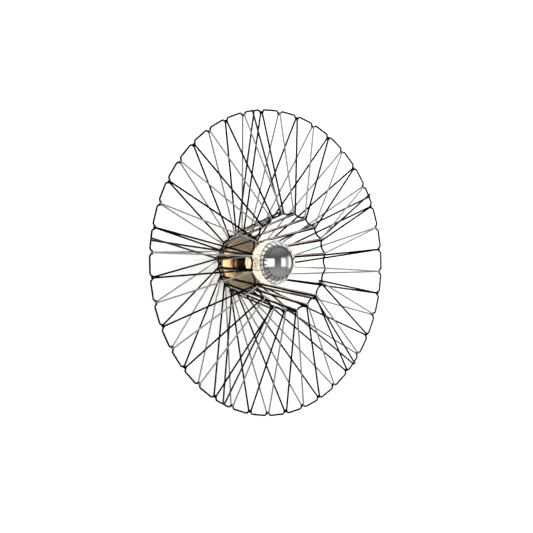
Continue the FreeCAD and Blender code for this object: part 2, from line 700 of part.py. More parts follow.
def bulb_screw_cap():
    """Metal screw cap as a plain shell on the insulator."""
    shoulder = CAP_START_DEPTH + CAP_R - INSULATOR_R
    inner_r = CAP_R - CAP_T
    return turned_points([(INSULATOR_R - CAP_T, CAP_START_DEPTH), (INSULATOR_R, CAP_START_DEPTH),
                          (CAP_R, shoulder), (CAP_R, CAP_END_DEPTH), (inner_r, CAP_END_DEPTH),
                          (inner_r, shoulder + CAP_T), (INSULATOR_R - CAP_T, CAP_START_DEPTH + CAP_T)])


def bulb_insulator():
    """Black glass cone between the screw cap and the tip."""
    start = BULB_TIP_DEPTH + TIP_T
    return turned_points([(0, start), (TIP_R, start), (INSULATOR_R - CAP_T, CAP_START_DEPTH - CAP_T),
                          (INSULATOR_R - CAP_T, CAP_START_DEPTH), (0, CAP_START_DEPTH)])


def bulb_tip():
    """Round solder contact at the bulb's end."""
    return ring_bar(0, TIP_R, BULB_TIP_DEPTH, BULB_TIP_DEPTH + TIP_T)


def bulb_stem():
    """Flared glass stem that carries the filaments."""
    foot = CAP_END_DEPTH - CAP_L / 3
    flare_top = foot + STEM_FLARE_L
    foot_r = CAP_R - CAP_T - 2 * PART_GAP - GLASS_T
    return turned_points([(0, foot), (foot_r, foot), (STEM_R, flare_top), (STEM_R, STEM_TOP_DEPTH),
                          (0, STEM_TOP_DEPTH)])


def filament_ends(index):
    """Rear and front end of one leaning filament stick."""
    angle = 360 / FILAMENTS * index
    rear = at(FILAMENT_FOOT_R, angle, FILAMENT_MID_DEPTH - FILAMENT_L / 2)
    front = at(FILAMENT_TOP_R, angle, FILAMENT_MID_DEPTH + FILAMENT_L / 2)
    return rear, front


def bulb_filaments():
    """Ring of leaning filament sticks."""
    return Part.makeCompound([rod(*filament_ends(index), FILAMENT_D) for index in range(FILAMENTS)])


def bulb_filament_frame():
    """Thin wires from the stem to the filaments' rear ends, and a front hub with its spokes."""
    rear_hub = ring_bar(STEM_R, STEM_R + SUPPORT_D, STEM_TOP_DEPTH - SUPPORT_D * 2, STEM_TOP_DEPTH)
    front_depth = FILAMENT_MID_DEPTH + FILAMENT_L / 2
    front_hub = ring_bar(0, STEM_R, STEM_TOP_DEPTH, front_depth + SUPPORT_D)
    hub_middle_r = STEM_R + SUPPORT_D / 2
    wires = []
    for index in range(FILAMENTS):
        rear, front = filament_ends(index)
        angle = 360 / FILAMENTS * index
        wires.append(rod(at(hub_middle_r, angle, STEM_TOP_DEPTH - SUPPORT_D), rear, SUPPORT_D))
        wires.append(rod(OUT * front_depth, front, SUPPORT_D))
    return front_hub.fuse([rear_hub] + wires)


# ---- All pieces ----
def make_pieces():
    """Every piece by its name."""
    pieces = {
        "rim_ring": rim_ring(),
        "front_ring": cusped_ring(FRONT_NOTCH_R, FRONT_BULGE, FRONT_NOTCH_BEND, FRONT_DEPTH),
        "back_ring": cusped_ring(BACK_NOTCH_R, BACK_BULGE, BACK_NOTCH_BEND, BACK_DEPTH),
        "black_cord": black_cord(),
        "grey_cord": grey_cord(),
        "wall_plate": wall_plate(),
        "cable_grommet": cable_grommet(),
        "brass_canopy": brass_canopy(),
        "canopy_locknut": canopy_locknut(),
        "holder_sleeve": holder_sleeve(),
        "holder_body": holder_body(),
        "holder_thread_shell": holder_thread_shell(),
        "centre_contact": centre_contact(),
        "holder_screws": holder_screws(),
        "terminal_block": terminal_block(),
        "terminal_screws": terminal_screws(),
        "neutral_lead": lead_runs(0)[0],
        "live_lead": lead_runs(0)[1],
        "earth_lead": earth_lead(),
        "earth_terminal": earth_terminal(),
        "bulb_mirror_crown": bulb_mirror_crown(),
        "bulb_glass": bulb_glass(),
        "bulb_screw_cap": bulb_screw_cap(),
        "bulb_insulator": bulb_insulator(),
        "bulb_tip": bulb_tip(),
        "bulb_stem": bulb_stem(),
        "bulb_filaments": bulb_filaments(),
        "bulb_filament_frame": bulb_filament_frame(),
    }
    for index in range(ROD_COUNT):
        angle = pair_angle(PAIRS // ROD_COUNT * index)
        pieces["front_rod_%d" % (index + 1)] = front_rod(angle)
        pieces["back_rod_%d" % (index + 1)] = back_rod(angle)
        pieces["stay_%d" % (index + 1)] = stay(angle)
    return pieces


def main():
    """Write one STEP file for each piece."""
    os.makedirs(OUT_FOLDER, exist_ok=True)
    for name, shape in make_pieces().items():
        shape.exportStep(os.path.join(OUT_FOLDER, name + ".step"))
        box = shape.BoundBox
        print("%-20s solids %d valid %s volume %.1f box %.1f %.1f %.1f" % (
            name, len(shape.Solids), shape.isValid(), shape.Volume, box.XLength, box.YLength, box.ZLength))


main()
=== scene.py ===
"""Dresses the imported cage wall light: cords, welds, finishes, bulb glow, wall, lamps and camera.

Lengths are in metres, with the wall at Y = 0, the light standing out along -Y and Z up. Angles run
clockwise from the top, seen from the front, and a depth is the distance in front of the wall.
"""

import logging
import math
import random
from collections.abc import Callable, Mapping, Sequence
from dataclasses import dataclass, field
from enum import Enum

import bpy
from mathutils import Matrix, Quaternion, Vector

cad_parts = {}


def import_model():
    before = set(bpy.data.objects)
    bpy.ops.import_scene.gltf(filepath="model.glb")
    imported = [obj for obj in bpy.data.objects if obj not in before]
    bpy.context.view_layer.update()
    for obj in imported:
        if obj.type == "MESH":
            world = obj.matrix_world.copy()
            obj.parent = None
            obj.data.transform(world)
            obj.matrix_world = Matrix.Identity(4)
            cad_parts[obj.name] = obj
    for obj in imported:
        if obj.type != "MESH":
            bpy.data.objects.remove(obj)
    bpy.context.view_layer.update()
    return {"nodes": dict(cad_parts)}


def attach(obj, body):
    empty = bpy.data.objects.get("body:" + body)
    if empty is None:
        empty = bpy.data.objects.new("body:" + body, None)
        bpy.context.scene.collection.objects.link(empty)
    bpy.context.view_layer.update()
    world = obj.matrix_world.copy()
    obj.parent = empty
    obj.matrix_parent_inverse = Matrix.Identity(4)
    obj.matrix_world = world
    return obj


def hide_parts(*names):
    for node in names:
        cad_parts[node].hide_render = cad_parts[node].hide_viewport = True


LOG = logging.getLogger("cage_wall_light")
MM = 0.001
OUT = Vector((0.0, -1.0, 0.0))
Rgb = tuple[float, float, float]
Socket = bpy.types.NodeSocket
Sockets = Mapping[str, Socket]
Value = float | Rgb | Socket
Nodes = dict[str, bpy.types.Object]
Groups = dict[str, bpy.types.NodeTree]
DUST: Rgb = (0.42, 0.4, 0.37)
DUST_ROUGHENS = 0.3
DOME_ANGLES = (25, 50, 80)
SHARP_ANGLE = 40


class Body(Enum):
    """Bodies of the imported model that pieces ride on."""

    LIGHT = "light"
    BULB = "bulb"


# ---- Shader building ----
@dataclass
class Graph:
    """Short hand for filling one shader tree."""

    tree: bpy.types.NodeTree

    def node(self, kind: str, values: Mapping[int | str, Value] | None = None,
             **settings: object) -> bpy.types.Node:
        """Add a node.

        Args:
            kind: Blender's type name of the node.
            values: What its inputs get, by number or name.
            settings: Attributes to set on it first.

        Returns:
            The new node.
        """
        made = self.tree.nodes.new(kind)
        for key, setting in settings.items():
            setattr(made, key, setting)
        for key, value in (values or {}).items():
            self.feed(made.inputs[key], value)
        return made

    def feed(self, socket: Socket, value: Value) -> None:
        """Link or set one input.

        Args:
            socket: Input to fill.
            value: An output to link, a number, or a colour, which gets its alpha of 1.
        """
        if isinstance(value, bpy.types.NodeSocket):
            self.tree.links.new(value, socket)
        else:
            socket.default_value = (*value, 1.0) if isinstance(value, tuple) else value

    def math(self, operation: str, *values: Value) -> Socket:
        """Give the result of a Math node."""
        return self.node("ShaderNodeMath", dict(enumerate(values)), operation=operation).outputs[0]

    def times(self, first: Value, second: Value) -> Socket:
        """Multiply two values."""
        return self.math("MULTIPLY", first, second)

    def ramp(self, value: Value, low: Value, high: Value, to_low: Value = 0.0,
             to_high: Value = 1.0) -> Socket:
        """Map a value's range from low to high to the range from to_low to to_high, clamped."""
        entries = (value, low, high, to_low, to_high)
        return self.node("ShaderNodeMapRange", dict(enumerate(entries))).outputs[0]

    def between(self, share: Value, low: Value, high: Value) -> Socket:
        """Go from low to high as a share goes from 0 to 1."""
        return self.ramp(share, 0.0, 1.0, low, high)

    def mix(self, share: Value, first: Value, second: Value) -> Socket:
        """Blend two colours by the share of the second."""
        return self.node("ShaderNodeMix", {0: share, 6: first, 7: second}, data_type="RGBA").outputs[2]

    def noise(self, vector: Value, scale: Value, detail: float) -> Socket:
        """Give noise of a scale and detail at a place."""
        entries = {"Vector": vector, "Scale": scale, "Detail": detail}
        return self.node("ShaderNodeTexNoise", entries).outputs["Fac"]

    def bump(self, height: Value, strength: float, distance: float) -> Socket:
        """Give the normal of a relief whose full step is as high as the distance."""
        entries = {"Strength": strength, "Distance": distance, "Height": height}
        return self.node("ShaderNodeBump", entries).outputs["Normal"]

    def parts(self, vector: Value) -> Sockets:
        """Split a vector into X, Y and Z."""
        return self.node("ShaderNodeSeparateXYZ", {0: vector}).outputs

    def join(self, *values: Value) -> Socket:
        """Join values to a vector."""
        return self.node("ShaderNodeCombineXYZ", dict(enumerate(values))).outputs[0]

    def geometry(self, name: str) -> Socket:
        """Give an output of the Geometry node."""
        return self.node("ShaderNodeNewGeometry").outputs[name]

    def coordinate(self, name: str) -> Socket:
        """Give a texture coordinate, where Object is the place on the object in metres."""
        return self.node("ShaderNodeTexCoord").outputs[name]

    def depth(self) -> Socket:
        """Give the distance in front of the wall."""
        return self.times(self.parts(self.coordinate("Object"))["Y"], -1.0)


def grain_nodes(inner: Graph, inputs: Sockets) -> Sequence[Socket]:
    """Mix fine grain with slow blotches, for paint, plastic, rubber and glass.

    Args:
        inner: Tree of the group.
        inputs: Vector, and Scale as grains to a metre.

    Returns:
        Height and Blotch.
    """
    fine = inner.noise(inputs["Vector"], inputs["Scale"], detail=2.0)
    slow = inner.noise(inputs["Vector"], inner.times(inputs["Scale"], 0.06), detail=4.0)
    return fine, inner.ramp(slow, 0.35, 0.68)


def turned_nodes(inner: Graph, inputs: Sockets) -> Sequence[Socket]:
    """Make lathe lines: noise that changes with radius and depth, and only slowly round the axis.

    Args:
        inner: Tree of the group.
        inputs: Vector, and Density as lines to a metre.

    Returns:
        Height and Streak.
    """
    parts = inner.parts(inputs["Vector"])
    squares = [inner.times(parts[name], parts[name]) for name in ("X", "Z")]
    radius = inner.math("SQRT", inner.math("ADD", *squares))
    turned = inner.join(radius, parts["Y"], inner.times(parts["Z"], 0.02))
    fine = inner.noise(turned, inputs["Density"], detail=3.0)
    slow = inner.noise(inputs["Vector"], scale=45.0, detail=4.0)
    return fine, inner.times(inner.ramp(fine, 0.35, 0.65), inner.ramp(slow, 0.3, 0.7))


def wear_nodes(inner: Graph, inputs: Sockets) -> Sequence[Socket]:
    """Mask rubbed outer edges: the sharp convex places, broken up with noise.

    Args:
        inner: Tree of the group.
        inputs: Vector, and Reach as how far in from the edge the wear goes, from 0 to 1.

    Returns:
        The mask, 1 where bare.
    """
    worn = inner.noise(inputs["Vector"], scale=900.0, detail=4.0)
    start = inner.math("SUBTRACT", 0.62, inner.times(inputs["Reach"], 0.1))
    edge = inner.ramp(inner.geometry("Pointiness"), start, 0.66)
    return (inner.times(edge, inner.ramp(worn, 0.4, 0.6)),)


def dust_nodes(inner: Graph, inputs: Sockets) -> Sequence[Socket]:
    """Mask thin dust: the faces that look up, broken up with noise.

    Args:
        inner: Tree of the group.
        inputs: Vector, and Amount as the most that the dust covers, from 0 to 1.

    Returns:
        The mask, 1 where dusty.
    """
    upward = inner.ramp(inner.parts(inner.geometry("Normal"))["Z"], 0.45, 1.0)
    patches = inner.ramp(inner.noise(inputs["Vector"], scale=260.0, detail=4.0), 0.4, 0.65)
    return (inner.times(inner.times(upward, patches), inputs["Amount"]),)


def braid_nodes(inner: Graph, inputs: Sockets) -> Sequence[Socket]:
    """Cross two spirals on the cords' own coordinate and give each crossing its own shade.

    Args:
        inner: Tree of the group.
        inputs: Vector, Strands each way round the cord, and Picks to one diameter of length.

    Returns:
        Height, GrooveShade as the painted shade in the grooves, and Strand.
    """
    parts = inner.parts(inputs["Vector"])
    along = inner.times(parts["X"], inputs["Picks"])
    around = inner.times(parts["Y"], inputs["Strands"])
    ways = [inner.math(kind, along, around) for kind in ("ADD", "SUBTRACT")]
    waves = [inner.math("SINE", inner.times(way, math.pi)) for way in ways]
    height = inner.math("POWER", inner.math("ABSOLUTE", inner.times(*waves)), 0.45)
    cell = inner.join(*(inner.math("FLOOR", way) for way in ways))
    shade = inner.node("ShaderNodeTexWhiteNoise", {"Vector": cell}, noise_dimensions="2D")
    # The second output is painted shade: 1 in the low grooves of the braid.
    return height, inner.ramp(height, 0.15, 0.6, 1.0, 0.0), shade.outputs["Value"]


@dataclass
class Surface(Graph):
    """Shader tree of one finish, with its main shader and the node groups that finishes share."""

    shader: bpy.types.Node
    groups: Groups

    def put(self, values: Mapping[str, Value]) -> None:
        """Fill inputs of the main shader, by name."""
        for name, value in values.items():
            self.feed(self.shader.inputs[name], value)

    def effect(self, name: str, outputs: Sequence[str], fill: Callable[[Graph, Sockets], Sequence[Socket]],
               coordinate: str = "Object", **values: Value) -> Sockets:
        """Place a shared node group, which is built when it is first asked for.

        Args:
            name: Name of the group.
            outputs: Names of what it puts out, all plain values.
            fill: Makes its nodes and gives what it puts out.
            coordinate: Texture coordinate that its Vector gets.
            values: What its other inputs get, by name, all plain values.

        Returns:
            What it puts out, by name.
        """
        values = {"Vector": self.coordinate(coordinate), **values}
        if name not in self.groups:
            tree = bpy.data.node_groups.new(name, "ShaderNodeTree")
            for key in values:
                kind = "NodeSocketVector" if key == "Vector" else "NodeSocketFloat"
                tree.interface.new_socket(key, in_out="INPUT", socket_type=kind)
            for key in outputs:
                tree.interface.new_socket(key, in_out="OUTPUT", socket_type="NodeSocketFloat")
            inner = Graph(tree)
            results = fill(inner, inner.node("NodeGroupInput").outputs)
            inner.node("NodeGroupOutput", dict(zip(outputs, results)))
            self.groups[name] = tree
        return self.node("ShaderNodeGroup", values, node_tree=self.groups[name]).outputs

    def grain(self, scale: float) -> Sockets:
        """Place the grain, which gives Height and Blotch."""
        return self.effect("surface_grain", ("Height", "Blotch"), grain_nodes, Scale=scale)

    def turned_lines(self, density: float) -> Sockets:
        """Place the lathe lines, which give Height and Streak."""
        return self.effect("turned_lines", ("Height", "Streak"), turned_nodes, Density=density)

    def edge_wear(self, reach: float) -> Socket:
        """Place the mask of rubbed edges."""
        return self.effect("edge_wear", ("Mask",), wear_nodes, Reach=reach)["Mask"]

    def settled_dust(self, amount: float) -> Socket:
        """Place the mask of thin dust."""
        return self.effect("settled_dust", ("Mask",), dust_nodes, Amount=amount)["Mask"]

    def braid(self, strands: float, picks: float) -> Sockets:
        """Place the braid, which gives Height, GrooveShade (painted shade in its grooves) and Strand."""
        outputs = ("Height", "GrooveShade", "Strand")
        return self.effect("braid", outputs, braid_nodes, "UV", Strands=strands, Picks=picks)

    def dusted(self, dusty: Value, colour: Value) -> Socket:
        """Lay dust over a colour where its mask says."""
        return self.mix(dusty, colour, DUST)

    def dulled(self, dusty: Value, roughness: Value) -> Socket:
        """Roughen a surface where the dust's mask says."""
        return self.math("ADD", roughness, self.times(dusty, DUST_ROUGHENS))


# ---- Finishes ----
@dataclass(frozen=True)
class Finish:
    """Plain values of one finish, which each kind of finish fills out with its own nodes.

    Spread is how much rougher its roughest places are, relief is the share of its bumps that shows,
    and depth is their real height.
    """

    name: str
    colour: Rgb
    roughness: float = 0.5
    metallic: float = 0.0
    specular: float = 0.5
    spread: float = 0.0
    relief: float = 0.5
    depth: float = 0.0

    def build(self, groups: Groups) -> bpy.types.Material:
        """Make the material.

        Args:
            groups: The shared node groups built so far.

        Returns:
            The finished material.
        """
        material = bpy.data.materials.new(self.name)
        material.use_nodes = True
        material.diffuse_color = (*self.colour, 1.0)
        tree = material.node_tree
        surface = Surface(tree, tree.nodes["Principled BSDF"], groups)
        surface.put({"Base Color": self.colour, "Roughness": self.roughness,
                     "Metallic": self.metallic, "Specular IOR Level": self.specular})
        self.fill(surface)
        return material

    def fill(self, surface: Surface) -> None:
        """Leave the plain shader as it is."""

    def uneven(self, surface: Surface, share: Value) -> Socket:
        """Go from the plain roughness to the roughest as a share goes from 0 to 1."""
        return surface.between(share, self.roughness, self.roughness + self.spread)

    def lay(self, surface: Surface, colour: Value, roughness: Value, height: Value) -> None:
        """Fill the colour, the roughness and the finish's own relief."""
        normal = surface.bump(height, self.relief, self.depth)
        surface.put({"Base Color": colour, "Roughness": roughness, "Normal": normal})


@dataclass(frozen=True)
class Coated(Finish):
    """Paint, moulded plastic or rubber with a fine grain, a little wear and dust."""

    spread: float = 0.08
    smoother: float = 0.06
    relief: float = 0.6
    depth: float = 0.02 * MM
    second: Rgb = (0.02, 0.02, 0.02)
    bare: Rgb = (0.2, 0.19, 0.18)
    scale: float = 1800.0
    wear: float = 0.3
    dust: float = 0.15

    def fill(self, surface: Surface) -> None:
        """Lay grain, blotches, rubbed edges and dust.

        Args:
            surface: Tree of the finish.
        """
        grain = surface.grain(self.scale)
        dusty = surface.settled_dust(self.dust)
        blotched = surface.mix(grain["Blotch"], self.colour, self.second)
        rubbed = surface.mix(surface.edge_wear(self.wear), blotched, self.bare)
        low, high = self.roughness - self.smoother, self.roughness + self.spread
        satin = surface.dulled(dusty, surface.between(grain["Blotch"], low, high))
        self.lay(surface, surface.dusted(dusty, rubbed), satin, grain["Height"])


@dataclass(frozen=True)
class TurnedMetal(Finish):
    """Bare or lacquered metal with lathe lines, tarnish and rubbed edges."""

    metallic: float = 1.0
    spread: float = 0.12
    depth: float = 0.012 * MM
    tarnish: Rgb = (0.2, 0.1, 0.03)
    bright: Rgb = (0.9, 0.8, 0.6)
    density: float = 4200.0
    blotches: float = 700.0
    tarnished: float = 0.2
    streaked: float = 0.3
    wear: float = 0.4
    dust: float = 0.1

    def fill(self, surface: Surface) -> None:
        """Lay lathe lines, tarnish, bright edges and dust.

        Args:
            surface: Tree of the finish.
        """
        lines = surface.turned_lines(self.density)
        dusty = surface.settled_dust(self.dust)
        dull = surface.times(surface.grain(self.blotches)["Blotch"], self.tarnished)
        body = surface.mix(dull, self.colour, self.tarnish)
        streak = surface.times(lines["Streak"], self.streaked)
        lined = surface.mix(streak, body, self.bright)
        rubbed = surface.mix(surface.edge_wear(self.wear), lined, self.bright)
        rough = self.uneven(surface, surface.ramp(lines["Height"], 0.3, 0.7))
        colour = self.topped(surface, surface.dusted(dusty, rubbed))
        self.lay(surface, colour, surface.dulled(dusty, rough), lines["Height"])

    def topped(self, surface: Surface, colour: Socket) -> Socket:
        """Leave the colour as it is."""
        return colour


@dataclass(frozen=True)
class SleeveMetal(TurnedMetal):
    """Dark turned sleeve whose brass collar is painted bright, partly its brass and partly a painted
    highlight of the bulb's glow.
    """

    collar_brass_and_glow: Rgb = (0.86, 0.76, 0.55)
    collar_depth: float = 36.2 * MM
    collar_edge: float = 0.4 * MM

    def topped(self, surface: Surface, colour: Socket) -> Socket:
        """Paint the collar bright: brass with a painted highlight of the bulb's glow."""
        # Painted highlight: from the collar's depth forward the colour turns bright, for the bulb's glow
        # on the brass.
        front = surface.ramp(surface.depth(), self.collar_depth, self.collar_depth + self.collar_edge)
        return surface.mix(front, colour, self.collar_brass_and_glow)


@dataclass(frozen=True)
class BraidedCord(Finish):
    """Textile cord: crossed strands with painted shade in the grooves and a soft sheen."""

    spread: float = 0.15
    relief: float = 0.8
    depth: float = 0.18 * MM
    groove_shade: Rgb = (0.01, 0.01, 0.01)
    fleck: Rgb = (0.05, 0.05, 0.05)
    strands: float = 6.0
    picks: float = 1.6
    dust: float = 0.1
    sheen: float = 0.0
    sheen_roughness: float = 0.5

    def fill(self, surface: Surface) -> None:
        """Lay the braid with a shade to each crossing and painted shade in its grooves.

        Args:
            surface: Tree of the finish.
        """
        braid = surface.braid(self.strands, self.picks)
        shaded = surface.mix(braid["Strand"], self.colour, self.fleck)
        # Painted shade: the grooves between strands are darkened toward the groove colour.
        groove_shaded = surface.mix(braid["GrooveShade"], shaded, self.groove_shade)
        colour = surface.dusted(surface.settled_dust(self.dust), groove_shaded)
        rough = surface.between(braid["Height"], self.roughness + self.spread, self.roughness)
        self.lay(surface, colour, rough, braid["Height"])
        surface.put({"Sheen Weight": self.sheen, "Sheen Roughness": self.sheen_roughness})


@dataclass(frozen=True)
class StripedJacket(Finish):
    """Earth lead's jacket, with stripes along it."""

    spread: float = 0.12
    relief: float = 0.4
    depth: float = 0.01 * MM
    stripe: Rgb = (0.1, 0.35, 0.06)
    scale: float = 1500.0

    def fill(self, surface: Surface) -> None:
        """Lay two stripes of the second colour and a fine grain.

        Args:
            surface: Tree of the finish.
        """
        facing = surface.math("ABSOLUTE", surface.parts(surface.geometry("Normal"))["Y"])
        grain = surface.grain(self.scale)
        striped = surface.mix(surface.ramp(facing, 0.5, 0.56), self.colour, self.stripe)
        self.lay(surface, striped, self.uneven(surface, grain["Blotch"]), grain["Height"])


@dataclass(frozen=True)
class BlownGlass(Finish):
    """Clear glass with a trace of waviness, and the lit bulb's own gleam on it."""

    spread: float = 0.01
    relief: float = 0.08
    depth: float = 0.05 * MM
    waves: float = 60.0
    glow: float = 0.0
    clear: float = 1.0
    index: float = 1.47
    rear: Rgb = (1.0, 0.84, 0.52)
    front: Rgb = (1.0, 0.97, 0.9)
    rear_depth: float = 52.0 * MM
    front_depth: float = 74.0 * MM

    def fill(self, surface: Surface) -> None:
        """Make the shader clear and ripple it slightly, with a gleam where the bulb is lit.

        Args:
            surface: Tree of the finish.
        """
        ripple = surface.grain(self.waves)
        self.lay(surface, self.colour, self.uneven(surface, ripple["Blotch"]), ripple["Height"])
        surface.put({"Transmission Weight": self.clear, "IOR": self.index})
        if self.glow:
            share = surface.ramp(surface.depth(), self.rear_depth, self.front_depth)
            surface.put({"Emission Color": surface.mix(share, self.rear, self.front),
                         "Emission Strength": self.glow})


@dataclass(frozen=True)
class Silvered(Finish):
    """Mirror coat of the globe, with faint cloudy places and a painted dark reflection at its edge."""

    metallic: float = 1.0
    spread: float = 0.03
    relief: float = 0.1
    depth: float = 0.04 * MM
    blotches: float = 500.0
    waves: float = 70.0
    cloud: Rgb = (0.7, 0.7, 0.72)
    rim_painted_reflection: Rgb = (0.1, 0.1, 0.09)
    rim_depth: float = 101.8 * MM
    rim_width: float = 4.5 * MM

    def fill(self, surface: Surface) -> None:
        """Cloud and ripple the mirror slightly and paint a dark reflection on its edge.

        Args:
            surface: Tree of the finish.
        """
        blotch = surface.grain(self.blotches)["Blotch"]
        rim_end = self.rim_depth + self.rim_width
        # Painted reflection: the mirror darkens toward its edge, standing in for the dark cords and room
        # it reflects.
        edge = surface.ramp(surface.depth(), self.rim_depth, rim_end, 1.0, 0.0)
        colour = surface.mix(edge, surface.mix(blotch, self.colour, self.cloud), self.rim_painted_reflection)
        ripple = surface.grain(self.waves)["Height"]
        self.lay(surface, colour, self.uneven(surface, blotch), ripple)


@dataclass(frozen=True)
class Glowing(Finish):
    """Phosphor coat that gives light."""

    depth: float = 0.03 * MM
    scale: float = 2200.0
    glow: Rgb = (1.0, 0.62, 0.28)
    paler: Rgb = (1.0, 0.74, 0.44)
    strength: float = 6.0

    def fill(self, surface: Surface) -> None:
        """Give off light, a little uneven along the coat.

        Args:
            surface: Tree of the finish.
        """
        grain = surface.grain(self.scale)
        self.lay(surface, self.colour, self.roughness, grain["Height"])
        surface.put({"Emission Color": surface.mix(grain["Blotch"], self.glow, self.paler),
                     "Emission Strength": self.strength})


class Palette:
    """Every finish, made into one material when first asked for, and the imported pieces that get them."""

    FINISHES: Sequence[Finish] = (
        Coated("black_enamel", (0.002, 0.002, 0.002), 0.45, specular=0.06, second=(0.004, 0.0038, 0.0036),
               dust=0.01),
        BraidedCord("black_braid", (0.0025, 0.0024, 0.0023), 0.8, specular=0.0,
                    groove_shade=(0.0008, 0.0008, 0.0008), fleck=(0.006, 0.0055, 0.005), dust=0.01),
        BraidedCord("grey_braid", (0.37, 0.37, 0.375), 0.7, specular=0.15, groove_shade=(0.14, 0.14, 0.14),
                    fleck=(0.5, 0.5, 0.5), dust=0.08, sheen=0.05),
        TurnedMetal("zinc_plate", (0.62, 0.63, 0.64), 0.36, tarnish=(0.4, 0.41, 0.42),
                    bright=(0.75, 0.76, 0.77), density=900.0),
        TurnedMetal("brushed_brass", (0.4, 0.3, 0.185), 0.25, tarnish=(0.3, 0.21, 0.12),
                    bright=(0.56, 0.44, 0.28), density=1800.0, depth=0.001 * MM, spread=0.05,
                    dust=0.02),
        TurnedMetal("polished_brass", (0.66, 0.52, 0.32), 0.14, tarnish=(0.4, 0.3, 0.17),
                    bright=(0.85, 0.74, 0.52), spread=0.06, dust=0.02),
        SleeveMetal("sleeve_bronze", (0.03, 0.024, 0.019), 0.16, tarnish=(0.02, 0.016, 0.012),
                    bright=(0.07, 0.055, 0.04), depth=0.004 * MM, spread=0.05, dust=0.02),
        Coated("rubber_ring", (0.02, 0.02, 0.02), 0.7, second=(0.03, 0.03, 0.03), wear=0.0),
        Coated("moulded_holder", (0.02, 0.017, 0.015), 0.4, second=(0.03, 0.025, 0.02)),
        TurnedMetal("nickel_shell", (0.66, 0.62, 0.55), 0.2, tarnish=(0.4, 0.36, 0.3)),
        Coated("terminal_plastic", (0.75, 0.74, 0.7), 0.45, second=(0.7, 0.69, 0.65), wear=0.0),
        Coated("brown_jacket", (0.14, 0.05, 0.02), 0.42, second=(0.17, 0.06, 0.03), wear=0.0),
        Coated("blue_jacket", (0.03, 0.1, 0.4), 0.42, second=(0.04, 0.13, 0.45), wear=0.0),
        StripedJacket("earth_jacket", (0.75, 0.6, 0.05), 0.42),
        Silvered("silvered_crown", (0.74, 0.75, 0.74), 0.02, cloud=(0.62, 0.63, 0.62)),
        BlownGlass("globe_glass", (0.96, 0.95, 0.93), 0.0, glow=0.02, clear=0.88, index=2.4),
        BlownGlass("clear_glass", (1.0, 1.0, 1.0), 0.0),
        TurnedMetal("cap_nickel", (0.5, 0.46, 0.39), 0.24, tarnish=(0.45, 0.4, 0.33)),
        Coated("black_glass", (0.008, 0.008, 0.01), 0.12, wear=0.0, dust=0.0),
        TurnedMetal("solder", (0.6, 0.6, 0.58), 0.35, tarnish=(0.35, 0.35, 0.34)),
        Glowing("phosphor", (1.0, 0.82, 0.5), 0.5, strength=2.5),
        TurnedMetal("support_wire", (0.6, 0.58, 0.55), 0.3, tarnish=(0.4, 0.36, 0.3)),
    )

    def __init__(self, nodes: Nodes) -> None:
        """Keep the finishes by name.

        Args:
            nodes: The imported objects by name.
        """
        self.nodes = nodes
        self.finishes = {finish.name: finish for finish in self.FINISHES}
        self.groups: Groups = {}
        self.made: dict[str, bpy.types.Material] = {}

    def material(self, name: str) -> bpy.types.Material:
        """Give the material of a finish.

        Args:
            name: Name of the finish.

        Returns:
            Its material.
        """
        if name not in self.made:
            self.made[name] = self.finishes[name].build(self.groups)
        return self.made[name]

    def dress(self, finishes: Mapping[str, str]) -> None:
        """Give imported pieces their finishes.

        Args:
            finishes: Name of each piece's finish, by the piece's name.
        """
        for name, finish in finishes.items():
            for slot in self.nodes[name].material_slots:
                slot.link = "OBJECT"
                slot.material = self.material(finish)
            LOG.info("%s: dressed in %s", name, finish)


# ---- Mesh building ----
def add_object(name: str, data: bpy.types.ID) -> bpy.types.Object:
    """Put data into the scene as an object.

    Args:
        name: Name of the object.
        data: Its mesh, lamp or camera.

    Returns:
        The object.
    """
    made = bpy.data.objects.new(name, data)
    bpy.context.scene.collection.objects.link(made)
    return made


